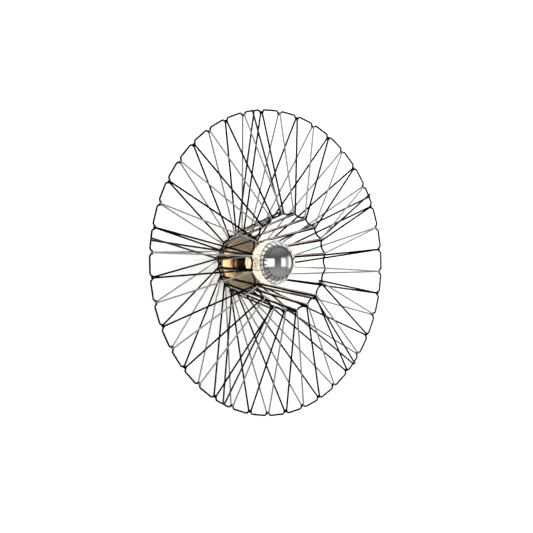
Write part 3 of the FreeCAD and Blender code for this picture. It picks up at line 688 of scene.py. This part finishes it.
@dataclass
class Skin:
    """Mesh in the making, from closed rings of points joined in order."""

    name: str
    points: list[Vector] = field(default_factory=list)
    faces: list[tuple[int, ...]] = field(default_factory=list)
    uvs: list[tuple[float, float]] = field(default_factory=list)

    def ring(self, points: Sequence[Vector]) -> range:
        """Add one ring of points.

        Args:
            points: The ring's points in order.

        Returns:
            Their numbers.
        """
        first = len(self.points)
        self.points.extend(points)
        return range(first, len(self.points))

    def bridge(self, low: range, high: range, low_run: float = 0.0, high_run: float = 1.0) -> None:
        """Join two closed rings with quads.

        Args:
            low: First ring.
            high: Second ring, with as many points.
            low_run: Lengthwise coordinate of the first ring.
            high_run: Lengthwise coordinate of the second ring.
        """
        count = len(low)
        for index in range(count):
            after = (index + 1) % count
            self.faces.append((low[index], low[after], high[after], high[index]))
            near, far = index / count, (index + 1) / count
            self.uvs.extend(((low_run, near), (low_run, far), (high_run, far), (high_run, near)))

    def close(self, order: Sequence[int]) -> None:
        """Close a ring with one face.

        Args:
            order: The ring's numbers, anticlockwise from outside.
        """
        self.faces.append(tuple(order))
        self.uvs.extend((0.0, index / len(order)) for index in range(len(order)))

    def stack(self, rings: Sequence[range], runs: Sequence[float]) -> None:
        """Join rings in order and close both ends.

        Args:
            rings: The rings.
            runs: Lengthwise coordinate of each ring.
        """
        self.close(rings[0][::-1])
        for index in range(1, len(rings)):
            self.bridge(rings[index - 1], rings[index], runs[index - 1], runs[index])
        self.close(rings[-1])

    def build(self, material: bpy.types.Material, body: Body) -> bpy.types.Object:
        """Make the object and let it ride.

        Args:
            material: Its finish.
            body: Body that it moves with.

        Returns:
            The object.
        """
        mesh = bpy.data.meshes.new(self.name)
        mesh.from_pydata(self.points, [], self.faces)
        layer = mesh.uv_layers.new(name="run")
        layer.data.foreach_set("uv", [number for pair in self.uvs for number in pair])
        mesh.materials.append(material)
        mesh.polygons.foreach_set("use_smooth", [True] * len(mesh.polygons))
        mesh.set_sharp_from_angle(angle=math.radians(SHARP_ANGLE))
        made = add_object(self.name, mesh)
        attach(made, body.value)
        LOG.info("%s: %d faces on %s", self.name, len(mesh.polygons), body.value)
        return made


def circle(centre: Vector, first: Vector, second: Vector, radius: float, sides: int) -> list[Vector]:
    """Give points round a centre.

    Args:
        centre: Middle of the circle.
        first: Direction of the first point.
        second: Direction a quarter turn on.
        radius: Radius of the circle.
        sides: Number of points.

    Returns:
        The points in order.
    """
    turns = [2 * math.pi * index / sides for index in range(sides)]
    return [centre + (first * math.cos(turn) + second * math.sin(turn)) * radius for turn in turns]


@dataclass(frozen=True)
class RolledThread:
    """Round thread in a thin shell, which fades out at both of its ends.

    Rise is how deep its grooves are. Swing is 0.5 to start on a groove, or -0.5 to start on a crest.
    """

    start: float
    end: float
    rise: float
    swing: float
    pitch: float = 3.6 * MM

    def radius(self, plain: float, depth: float, turn: float) -> float:
        """Give the shell's radius on the thread.

        Args:
            plain: Radius of the shell without its thread.
            depth: Distance in front of the wall.
            turn: Angle round the axis, in radians.

        Returns:
            The radius there.
        """
        fade = min(1.0, max(0.0, (depth - self.start) / self.pitch))
        fade *= min(1.0, max(0.0, (self.end - depth) / self.pitch))
        wave = 0.5 + self.swing * math.cos(2 * math.pi * depth / self.pitch - turn)
        return plain - self.rise * wave * fade

    def turned(self, name: str, profile: Sequence[tuple[float, float]], sides: int) -> Skin:
        """Turn a closed profile about the light's axis, with the thread in it.

        Args:
            name: Name of the piece.
            profile: Pairs of radius and depth.
            sides: Points round the axis.

        Returns:
            The turned mesh in the making.
        """
        skin = Skin(name)
        rings = []
        for plain, depth in profile:
            row = []
            for index in range(sides):
                turn = 2 * math.pi * index / sides
                reach = self.radius(plain, depth, turn)
                row.append(Vector((reach * math.cos(turn), -depth, reach * math.sin(turn))))
            rings.append(skin.ring(row))
        for low, high in zip(rings, rings[1:] + rings[:1]):
            skin.bridge(low, high)
        return skin


def straight(radius: float, start: float, end: float, steps: int) -> list[tuple[float, float]]:
    """Give the profile of a straight shell from one depth to another, in steps."""
    return [(radius, start + (end - start) * step / steps) for step in range(steps + 1)]


# ---- Layout shared by the cage, the welds and the cords ----
@dataclass(frozen=True)
class Layout:
    """Places of the rings, their notches and what is fixed to them."""

    wire_d: float = 3.2 * MM
    weld_sink: float = 0.15 * MM
    pairs: int = 20
    first_pair_angle: float = -8.7
    rim_notches: int = 40
    rim_depth: float = 94.5 * MM
    rim_notch_r: float = 263.0 * MM
    rim_crest_rise: float = 5.3 * MM
    front_depth: float = 134.7 * MM
    front_notch_r: float = 87.4 * MM
    front_notch_bend: float = 6.5 * MM
    back_depth: float = 6.1 * MM
    back_notch_r: float = 54.9 * MM
    back_notch_bend: float = 6.0 * MM
    rods: int = 5

    @property
    def rim_crest_r(self) -> float:
        """Radius of the rim's crests."""
        return self.rim_notch_r + self.rim_crest_rise

    @property
    def touch(self) -> float:
        """Distance of two welded wires' centres."""
        return self.wire_d - self.weld_sink

    def pair_angle(self, pair: float) -> float:
        """Angle of a notch of the inner rings."""
        return self.first_pair_angle + 360 / self.pairs * pair

    def at(self, radius: float, angle: float, depth: float, lateral: float = 0.0) -> Vector:
        """Give a place round the axis.

        Args:
            radius: Distance from the axis.
            angle: Angle from the top, clockwise, in degrees.
            depth: Distance in front of the wall.
            lateral: Distance moved clockwise.

        Returns:
            The place.
        """
        turn = math.radians(angle)
        x = radius * math.sin(turn) + lateral * math.cos(turn)
        z = radius * math.cos(turn) - lateral * math.sin(turn)
        return Vector((x, -depth, z))


@dataclass(frozen=True)
class Peg:
    """A wire that a cord goes round: its centre under the cord and its heading there."""

    centre: Vector
    heading: Vector


# ---- Cords ----
@dataclass
class TautCord:
    """One braided cord, wound tight over the back ring, the rim and the front ring.

    Side is 1 for the rim notches clockwise of the inner rings' notches, and -1 for the others. End
    offsets place its last leg on the front ring, beside the legs already there.
    """

    name: str
    finish: str
    side: int
    start_pair: int
    end_pair: int
    end_offsets: float
    layout: Layout = field(default_factory=Layout)
    diameter: float = 2.8 * MM
    core_d: float = 2.4 * MM
    side_gap: float = 0.7 * MM
    front_spread: float = 0.3 * MM
    back_drift: float = -1.3 * MM
    lift: float = 0.1 * MM
    tail: float = 5.0 * MM
    sides: int = 14
    arc_step: float = 11.0
    least_steps: int = 4
    rounds: int = 8

    @property
    def offset(self) -> float:
        """Distance of a cord from the middle of its notch."""
        return (self.core_d + self.side_gap) / 2

    @property
    def wrap_r(self) -> float:
        """Distance of the cord's centre from that of a wire, where its soft jacket is pressed flat."""
        return self.layout.wire_d / 2 + self.core_d + self.lift - self.diameter / 2

    def inner_peg(self, notch_r: float, bend: float, depth: float, pair: int, lateral: float) -> Peg:
        """Give the peg in a notch of an inner ring.

        Args:
            notch_r: Radius of the notch.
            bend: Bend radius of the notch.
            depth: Depth of the ring.
            pair: Number of the notch.
            lateral: Distance of the cord from the notch's middle.

        Returns:
            The peg.
        """
        angle = self.layout.pair_angle(pair)
        middle = self.layout.at(notch_r - bend, angle, depth)
        reach = notch_r - bend + math.sqrt(bend ** 2 - lateral ** 2)
        centre = self.layout.at(reach, angle, depth, lateral)
        return Peg(centre, (centre - middle).cross(OUT).normalized())

    def front_peg(self, pair: int, lateral: float) -> Peg:
        """Give the peg on the front ring at a pair and a lateral."""
        lay = self.layout
        return self.inner_peg(lay.front_notch_r, lay.front_notch_bend, lay.front_depth, pair, lateral)

    def back_peg(self, pair: int) -> Peg:
        """Give the peg on the back ring.

        Args:
            pair: Number of the notch.

        Returns:
            The peg.
        """
        lay = self.layout
        lateral = self.side * self.offset + self.back_drift
        return self.inner_peg(lay.back_notch_r, lay.back_notch_bend, lay.back_depth, pair, lateral)

    def rim_peg(self, pair: int) -> Peg:
        """Give the peg in this cord's own rim notch.

        Args:
            pair: Number of the pair of notches.

        Returns:
            The peg.
        """
        lay = self.layout
        angle = lay.pair_angle(pair) + self.side * 180 / lay.rim_notches
        centre = lay.at(lay.rim_notch_r, angle, lay.rim_depth)
        return Peg(centre, (centre - OUT * lay.rim_depth).cross(OUT).normalized())

    def free_end(self, pair: int, lateral: float, share: float) -> Vector:
        """Give a place inside the funnel, a share of the way from the back ring to the front ring.

        Args:
            pair: Number of the notch.
            lateral: Distance from the notch's middle.
            share: 0 at the back ring and 1 at the front ring.

        Returns:
            The place.
        """
        lay = self.layout
        angle = lay.pair_angle(pair)
        back = lay.at(lay.back_notch_r - self.wrap_r, angle, lay.back_depth, lateral)
        front = lay.at(lay.front_notch_r - self.wrap_r, angle, lay.front_depth, lateral)
        return back.lerp(front, share)

    def pegs(self) -> tuple[list[Peg], Vector, Vector]:
        """Lay out the whole winding.

        Returns:
            Its pegs in order, and its two free ends.
        """
        lay = self.layout
        lateral = self.side * self.offset
        end_lateral = self.end_offsets * self.offset
        pegs = [self.back_peg(self.start_pair)]
        for turn in range(1, lay.pairs + 1):
            pair = self.start_pair - turn
            pegs.append(self.rim_peg(pair))
            if turn < lay.pairs:
                pegs.append(self.front_peg(pair, lateral + self.side * self.front_spread))
                pegs.append(self.back_peg(pair))
        pegs.append(self.front_peg(self.end_pair, end_lateral))
        share = self.tail / (lay.front_depth - lay.back_depth)
        start = self.free_end(self.start_pair, lateral, share)
        end = self.free_end(self.end_pair, end_lateral, 1 - share)
        return pegs, start, end

    def corner(self, corners: list[Vector], index: int, heading: Vector) -> tuple[Vector, Vector, float]:
        """Measure one corner of the route.

        Args:
            corners: Corners of the route.
            index: Which corner.
            heading: Heading of the wire there.

        Returns:
            Directions to the corner before and the corner after, and the bend that clears the wire.
        """
        to_last = (corners[index - 1] - corners[index]).normalized()
        to_next = (corners[index + 1] - corners[index]).normalized()
        slant = abs(to_last.cross(to_next).normalized().dot(heading))
        return to_last, to_next, self.wrap_r / slant

    def route(self) -> list[Vector]:
        """Work out the cord's centre line.

        Returns:
            Points of its straight legs and of its round bends on the wires.
        """
        pegs, start, end = self.pegs()
        corners = [start] + [peg.centre.copy() for peg in pegs] + [end]
        for _ in range(self.rounds):
            for index, peg in enumerate(pegs, 1):
                to_last, to_next, bend = self.corner(corners, index, peg.heading)
                reach = bend / math.sin(to_last.angle(to_next) / 2)
                corners[index] = peg.centre - (to_last + to_next).normalized() * reach
        line = [start]
        for index, peg in enumerate(pegs, 1):
            to_last, to_next, bend = self.corner(corners, index, peg.heading)
            reach = bend / math.tan(to_last.angle(to_next) / 2)
            pivot = corners[index] + (to_last + to_next).normalized() * math.hypot(bend, reach)
            arrive = corners[index] + to_last * reach - pivot
            leave = corners[index] + to_next * reach - pivot
            axis = arrive.cross(leave).normalized()
            turn = arrive.angle(leave)
            steps = max(self.least_steps, math.ceil(math.degrees(turn) / self.arc_step))
            for step in range(steps + 1):
                line.append(pivot + Quaternion(axis, turn * step / steps) @ arrive)
        line.append(end)
        return line

    def make(self, palette: Palette) -> None:
        """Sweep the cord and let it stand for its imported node.

        Args:
            palette: The finishes.
        """
        line = self.route()
        skin = Skin("braided_" + self.name)
        sweep(skin, line, self.diameter / 2, self.sides, self.diameter)
        made = skin.build(palette.material(self.finish), Body.LIGHT)
        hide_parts(self.name)
        length = sum((after - before).length for before, after in zip(line, line[1:]))
        LOG.info("%s: %.0f mm long", self.name, length / MM)


def sweep(skin: Skin, line: Sequence[Vector], radius: float, sides: int, run_unit: float) -> None:
    """Sweep a round section with domed ends along a line.

    Args:
        skin: Mesh that the sweep goes into.
        line: Points of the centre line.
        radius: Radius of the section.
        sides: Points round it.
        run_unit: Length that one step of the lengthwise coordinate stands for.
    """
    headings = [(after - before).normalized() for before, after in zip(line, line[1:])]
    bends = [(before + after).normalized() for before, after in zip(headings, headings[1:])]
    tangents = [headings[0], *bends, headings[-1]]
    stations = [(line[0], tangents[0], -angle) for angle in reversed(DOME_ANGLES)]
    stations += [(place, tangent, 0) for place, tangent in zip(line, tangents)]
    stations += [(line[-1], tangents[-1], angle) for angle in DOME_ANGLES]
    last, heading = line[0], tangents[0]
    first = heading.orthogonal().normalized()
    rings: list[range] = []
    runs: list[float] = []
    run = 0.0
    for place, tangent, angle in stations:
        first = heading.rotation_difference(tangent) @ first
        first = (first - tangent * first.dot(tangent)).normalized()
        run += (place - last).length / run_unit
        turn = math.radians(angle)
        centre = place + tangent * (radius * math.sin(turn))
        row = circle(centre, first, tangent.cross(first), radius * math.cos(turn), sides)
        rings.append(skin.ring(row))
        runs.append(run)
        last, heading = place, tangent
    skin.stack(rings, runs)


# ---- Cage ----
@dataclass
class WireCage:
    """The three rings, their rods and stays, and the welds that join them."""

    layout: Layout = field(default_factory=Layout)
    bead_r: float = 1.25 * MM
    bead_stretch: float = 1.5
    uneven: tuple[float, float] = (0.9, 1.06)
    sides: int = 12

    def bead(self, skin: Skin, place: Vector, along: Vector, seed: int) -> None:
        """Add one weld bead, longer than wide and a little uneven.

        Args:
            skin: Mesh that the beads go into.
            place: Where the wires touch.
            along: Direction the bead is long in.
            seed: Number that sets its unevenness.
        """
        dice = random.Random(seed)
        side = along.orthogonal().normalized()
        other = along.cross(side)
        rings = []
        for angle in range(-75, 76, 25):
            turn = math.radians(angle)
            centre = place + along * (self.bead_stretch * self.bead_r * math.sin(turn))
            row = circle(Vector(), side, other, self.bead_r * math.cos(turn), self.sides)
            rings.append(skin.ring([centre + point * dice.uniform(*self.uneven) for point in row]))
        skin.stack(rings, range(len(rings)))

    def weld_places(self) -> list[tuple[Vector, Vector]]:
        """Find the welds.

        Returns:
            Each weld's place and the direction that it is long in.
        """
        lay = self.layout
        side_step = lay.wire_d / 2 + lay.weld_sink
        places = []
        for index in range(lay.rods):
            angle = lay.pair_angle(lay.pairs // lay.rods * index)
            around = lay.at(0.0, angle, 0.0, 1.0)
            for lateral in (-side_step, side_step):
                crest = lay.at(lay.rim_crest_r, angle, lay.rim_depth, lateral)
                places.append((crest + OUT * (lay.touch / 2), around))
            front = lay.at(lay.front_notch_r, angle, lay.front_depth)
            places.append((front - OUT * (lay.touch / 2), lay.at(1.0, angle, 0.0)))
        return places

    def make(self, palette: Palette) -> None:
        """Dress the wires and add their welds.

        Args:
            palette: The finishes.
        """
        wires = ["rim_ring", "front_ring", "back_ring"]
        for index in range(1, self.layout.rods + 1):
            wires += ["%s_%d" % (kind, index) for kind in ("front_rod", "back_rod", "stay")]
        palette.dress(dict.fromkeys(wires, "black_enamel"))
        skin = Skin("cage_welds")
        for seed, (place, along) in enumerate(self.weld_places()):
            self.bead(skin, place, along, seed)
        skin.build(palette.material("black_enamel"), Body.LIGHT)


# ---- Canopy, plate and wiring ----
@dataclass
class WallFitting:
    """Wall plate, canopy and the wiring between them."""

    def make(self, palette: Palette) -> None:
        """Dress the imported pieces.

        Args:
            palette: The finishes.
        """
        palette.dress({
            "wall_plate": "zinc_plate", "cable_grommet": "rubber_ring", "brass_canopy": "brushed_brass",
            "canopy_locknut": "polished_brass", "terminal_block": "terminal_plastic",
            "terminal_screws": "cap_nickel", "neutral_lead": "blue_jacket", "live_lead": "brown_jacket",
            "earth_lead": "earth_jacket", "earth_terminal": "polished_brass",
        })


@dataclass
class Lampholder:
    """Sleeve, insulating body, threaded shell, contact and screws."""

    shell_in_r: float = 13.55 * MM
    shell_t: float = 0.4 * MM
    foot_r: float = 12.4 * MM
    start_depth: float = 8.0 * MM
    end_depth: float = 32.0 * MM
    thread: RolledThread = RolledThread(start=12.0 * MM, end=30.5 * MM, rise=0.25 * MM, swing=0.5)
    thread_steps: int = 72
    sides: int = 48

    def threaded_shell(self, palette: Palette) -> None:
        """Make the shell, whose rolled thread stays clear of the bulb's cap.

        Args:
            palette: The finishes.
        """
        floor = self.start_depth + self.shell_t
        profile = [(self.foot_r, self.start_depth)]
        profile += straight(self.shell_in_r + self.shell_t, self.start_depth, self.end_depth,
                            self.thread_steps)
        profile += straight(self.shell_in_r, self.end_depth, floor, self.thread_steps)
        profile.append((self.foot_r, floor))
        skin = self.thread.turned("threaded_shell", profile, self.sides)
        made = skin.build(palette.material("nickel_shell"), Body.LIGHT)
        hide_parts("holder_thread_shell")

    def make(self, palette: Palette) -> None:
        """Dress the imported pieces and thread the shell.

        Args:
            palette: The finishes.
        """
        palette.dress({"holder_sleeve": "sleeve_bronze", "holder_body": "moulded_holder",
                       "centre_contact": "cap_nickel", "holder_screws": "zinc_plate"})
        self.threaded_shell(palette)


# ---- Bulb ----
@dataclass
class MirroredBulb:
    """Globe bulb with a silvered front and a screw cap."""

    cap_r: float = 13.2 * MM
    cap_t: float = 0.4 * MM
    cap_start: float = 16.0 * MM
    cap_l: float = 21.5 * MM
    shoulder_r: float = 11.0 * MM
    plain_start: float = 1.0 * MM
    plain_end: float = 4.5 * MM
    lip: float = 4.0 * MM
    thread_depth: float = 0.9 * MM
    thread_steps: int = 60
    sides: int = 56

    def screw_cap(self, palette: Palette) -> None:
        """Make the threaded cap.

        Args:
            palette: The finishes.
        """
        inner_r, foot_r = self.cap_r - self.cap_t, self.shoulder_r - self.cap_t
        shoulder = self.cap_start + self.cap_r - self.shoulder_r
        end = self.cap_start + self.cap_l
        thread_end = end - self.plain_end
        profile = [(foot_r, self.cap_start), (self.shoulder_r, self.cap_start)]
        profile += straight(self.cap_r, shoulder, end, self.thread_steps)
        profile += [(inner_r, end), (inner_r, end - self.lip)]
        profile += straight(inner_r, thread_end, shoulder + self.cap_t, self.thread_steps)
        profile.append((foot_r, self.cap_start + self.cap_t))
        thread = RolledThread(start=shoulder + self.plain_start, end=thread_end,
                              rise=self.thread_depth, swing=-0.5)
        skin = thread.turned("threaded_cap", profile, self.sides)
        made = skin.build(palette.material("cap_nickel"), Body.BULB)
        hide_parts("bulb_screw_cap")

    def make(self, palette: Palette) -> None:
        """Dress the bulb, let its light through its glass and thread its cap.

        Args:
            palette: The finishes.
        """
        palette.dress({
            "bulb_mirror_crown": "silvered_crown", "bulb_glass": "globe_glass", "bulb_stem": "clear_glass",
            "bulb_insulator": "black_glass", "bulb_tip": "solder", "bulb_filaments": "phosphor",
            "bulb_filament_frame": "support_wire",
        })
        for name in ("bulb_glass", "bulb_stem"):
            palette.nodes[name].visible_shadow = False
        self.screw_cap(palette)


# ---- Studio ----
@dataclass(frozen=True)
class Viewpoint:
    """Camera that sees the light as the photograph does."""

    azimuth: float = -40.68
    elevation: float = 0.31
    roll: float = -1.43
    distance: float = 2.526
    focal_pixels: float = 1392.3
    frame_pixels: float = 533.0
    sensor: float = 36.0
    aside: float = 49.2 * MM
    above: float = -5.85 * MM
    farthest: float = 50.0

    def make(self) -> None:
        """Place the camera and make it the scene's."""
        turn, lift, roll = (math.radians(angle) for angle in (self.azimuth, self.elevation, self.roll))
        back = Vector((math.sin(turn) * math.cos(lift), -math.cos(turn) * math.cos(lift), math.sin(lift)))
        level = Vector((math.cos(turn), math.sin(turn), 0.0))
        upright = back.cross(level)
        right = level * math.cos(roll) + upright * math.sin(roll)
        up = upright * math.cos(roll) - level * math.sin(roll)
        lens = bpy.data.cameras.new("camera")
        lens.sensor_width = self.sensor
        lens.lens = self.focal_pixels / self.frame_pixels * self.sensor
        lens.clip_end = self.farthest
        camera = add_object("camera", lens)
        matrix = Matrix((right, up, back)).transposed().to_4x4()
        matrix.translation = back * self.distance + right * self.aside + up * self.above
        camera.matrix_world = matrix
        bpy.context.scene.camera = camera
        LOG.info("camera: %.1f mm lens at %.2f m", lens.lens, self.distance)


@dataclass(frozen=True)
class Softbox:
    """Square lamp that points at the light and isn't reflected in it."""

    name: str
    place: tuple[float, float, float]
    size: float
    power: float
    aim_depth: float = 70.0 * MM

    def make(self) -> None:
        """Hang the lamp."""
        lamp = bpy.data.lights.new(self.name, "AREA")
        lamp.size = self.size
        lamp.energy = self.power
        holder = add_object(self.name, lamp)
        holder.location = self.place
        aim = OUT * self.aim_depth - Vector(self.place)
        holder.rotation_euler = aim.to_track_quat("-Z", "Y").to_euler()
        holder.visible_glossy = False


@dataclass
class Studio:
    """Wall, floor, lamps, the bulb's own light and the sky.

    The strengths are those of the world, where 1 is white. A window is its first and last azimuth in
    degrees, and its strength. Heights in what gloss sees are the sine of the elevation.
    """

    wall_place: float = 0.4 * MM
    floor_drop: float = 0.62
    reach: float = 4.0
    paint: Rgb = (0.86, 0.86, 0.86)
    fill_white: float = 0.5
    sky: float = 0.45
    ceiling: float = 0.14
    zenith_gain: float = 2.4
    ceiling_heights: tuple[float, float] = (0.5, 1.0)
    ground: float = 0.42
    horizon_share: float = 0.5
    ground_heights: tuple[float, float] = (-0.75, -0.1)
    horizon_heights: tuple[float, float] = (-0.1, 0.2)
    windows: tuple[tuple[float, float, float], ...] = ((-80.0, -32.0, 2.4), (6.0, 30.0, 1.5),
                                                       (30.0, 50.0, 0.4), (50.0, 70.0, 1.3))
    window_soft: float = 4.0
    window_heights: tuple[float, float] = (0.22, 0.4)
    bulb_power: float = 0.26
    bulb_colour: Rgb = (1.0, 0.8, 0.56)
    bulb_lamp_r: float = 12.0 * MM
    bulb_lamp_depth: float = 84.5 * MM
    softboxes: tuple[Softbox, ...] = (
        Softbox("key_softbox", (-1.5, -2.1, 1.5), 1.3, 22.0),
        Softbox("side_softbox", (2.1, -1.7, 0.3), 1.0, 26.0),
        Softbox("top_softbox", (0.2, -0.9, 2.3), 1.4, 16.0),
    )

    def paint_material(self) -> bpy.types.Material:
        """Make the pale paint of the wall and floor, which is open from behind.

        Returns:
            The paint.
        """
        material = bpy.data.materials.new("pale_paint")
        material.use_nodes = True
        material.node_tree.nodes.clear()
        graph = Graph(material.node_tree)
        rays = graph.node("ShaderNodeLightPath").outputs
        seen = graph.math("MAXIMUM", rays["Is Camera Ray"], rays["Is Glossy Ray"])
        seen = graph.math("MAXIMUM", seen, rays["Is Transmission Ray"])
        matt = graph.node("ShaderNodeBsdfDiffuse", {"Color": self.paint})
        white = graph.node("ShaderNodeEmission", {"Strength": graph.times(seen, self.fill_white)})
        both = graph.node("ShaderNodeAddShader", {0: matt.outputs[0], 1: white.outputs[0]})
        unseen = graph.math("MAXIMUM", graph.geometry("Backfacing"), rays["Is Diffuse Ray"])
        clear = graph.node("ShaderNodeBsdfTransparent")
        choice = graph.node("ShaderNodeMixShader", {0: unseen, 1: both.outputs[0], 2: clear.outputs[0]})
        graph.node("ShaderNodeOutputMaterial", {"Surface": choice.outputs[0]})
        return material

    def sheet(self, name: str, corners: Sequence[tuple[float, float, float]], paint: bpy.types.Material,
              in_gloss: bool) -> None:
        """Stand or lay one flat sheet of the set.

        Args:
            name: Its name.
            corners: Its corners, seen anticlockwise from its front.
            paint: Its paint.
            in_gloss: True where mirrors and metal show it.
        """
        mesh = bpy.data.meshes.new(name)
        mesh.from_pydata(corners, [], [tuple(range(len(corners)))])
        mesh.materials.append(paint)
        made = add_object(name, mesh)
        made.visible_glossy = in_gloss

    def reflected_studio(self, graph: Graph) -> Socket:
        """Make what gloss sees of the studio: windows at eye level, a dark ceiling and a paler ground.

        Args:
            graph: The world's tree.

        Returns:
            The strength in each direction.
        """
        parts = graph.parts(graph.coordinate("Generated"))
        height, soft = parts["Z"], self.window_soft
        azimuth = graph.math("DEGREES", graph.math("ARCTAN2", parts["X"], graph.times(parts["Y"], -1.0)))
        level = graph.ramp(graph.math("ABSOLUTE", height), *self.window_heights, 1.0, 0.0)
        bright: Value = 0.0
        for low, high, strength in self.windows:
            left = graph.ramp(azimuth, low - soft, low + soft, 0.0, strength)
            right = graph.ramp(azimuth, high - soft, high + soft, 1.0, 0.0)
            bright = graph.math("MAXIMUM", bright, graph.times(left, right))
        below = graph.ramp(height, *self.ground_heights, self.ground, self.ground * self.horizon_share)
        above = graph.ramp(height, *self.ceiling_heights, self.ceiling, self.ceiling * self.zenith_gain)
        base = graph.ramp(height, *self.horizon_heights, below, above)
        return graph.math("ADD", base, graph.times(level, bright))

    def sky_light(self) -> None:
        """Make the even light all round, white where the camera or the glass sees it."""
        world = bpy.data.worlds.new("studio")
        world.use_nodes = True
        graph = Graph(world.node_tree)
        rays = graph.node("ShaderNodeLightPath").outputs
        seen = graph.math("MAXIMUM", rays["Is Camera Ray"], rays["Is Transmission Ray"])
        glossy = rays["Is Glossy Ray"]
        studio = graph.times(glossy, self.reflected_studio(graph))
        rest = graph.times(graph.math("SUBTRACT", 1.0, glossy), graph.between(seen, self.sky, 1.0))
        background = world.node_tree.nodes["Background"].inputs
        graph.feed(background["Color"], (1.0, 1.0, 1.0))
        graph.feed(background["Strength"], graph.math("ADD", studio, rest))
        bpy.context.scene.world = world

    def bulb_light(self) -> None:
        """Put the bulb's own warm light inside its globe."""
        lamp = bpy.data.lights.new("bulb_light", "POINT")
        lamp.energy = self.bulb_power
        lamp.color = self.bulb_colour
        lamp.shadow_soft_size = self.bulb_lamp_r
        holder = add_object("bulb_light", lamp)
        holder.location = OUT * self.bulb_lamp_depth
        holder.visible_transmission = False
        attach(holder, Body.BULB.value)

    def make(self) -> None:
        """Build the set."""
        paint = self.paint_material()
        reach, drop, back = self.reach, self.floor_drop, self.wall_place
        self.sheet("wall", [(-reach, back, -drop), (reach, back, -drop), (reach, back, reach),
                            (-reach, back, reach)], paint, in_gloss=True)
        self.sheet("floor", [(-reach, back - reach, -drop), (reach, back - reach, -drop),
                             (reach, back, -drop), (-reach, back, -drop)], paint, in_gloss=False)
        for softbox in self.softboxes:
            softbox.make()
        self.sky_light()
        self.bulb_light()
        bpy.context.scene.view_settings.view_transform = "Standard"
        LOG.info("studio: %d softboxes", len(self.softboxes))


def main() -> None:
    """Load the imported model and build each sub-assembly in order."""
    logging.basicConfig(level=logging.INFO, format="%(name)s: %(message)s")
    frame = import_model()
    palette = Palette(frame["nodes"])
    Viewpoint().make()
    black = TautCord("black_cord", "black_braid", side=1, start_pair=6, end_pair=7, end_offsets=-3.0,
                     diameter=3.1 * MM)
    grey = TautCord("grey_cord", "grey_braid", side=-1, start_pair=7, end_pair=7, end_offsets=-1.0)
    for part in (black, grey, WireCage(), WallFitting(), Lampholder(), MirroredBulb()):
        part.make(palette)
    Studio().make()


if __name__ == "__main__":
    main()
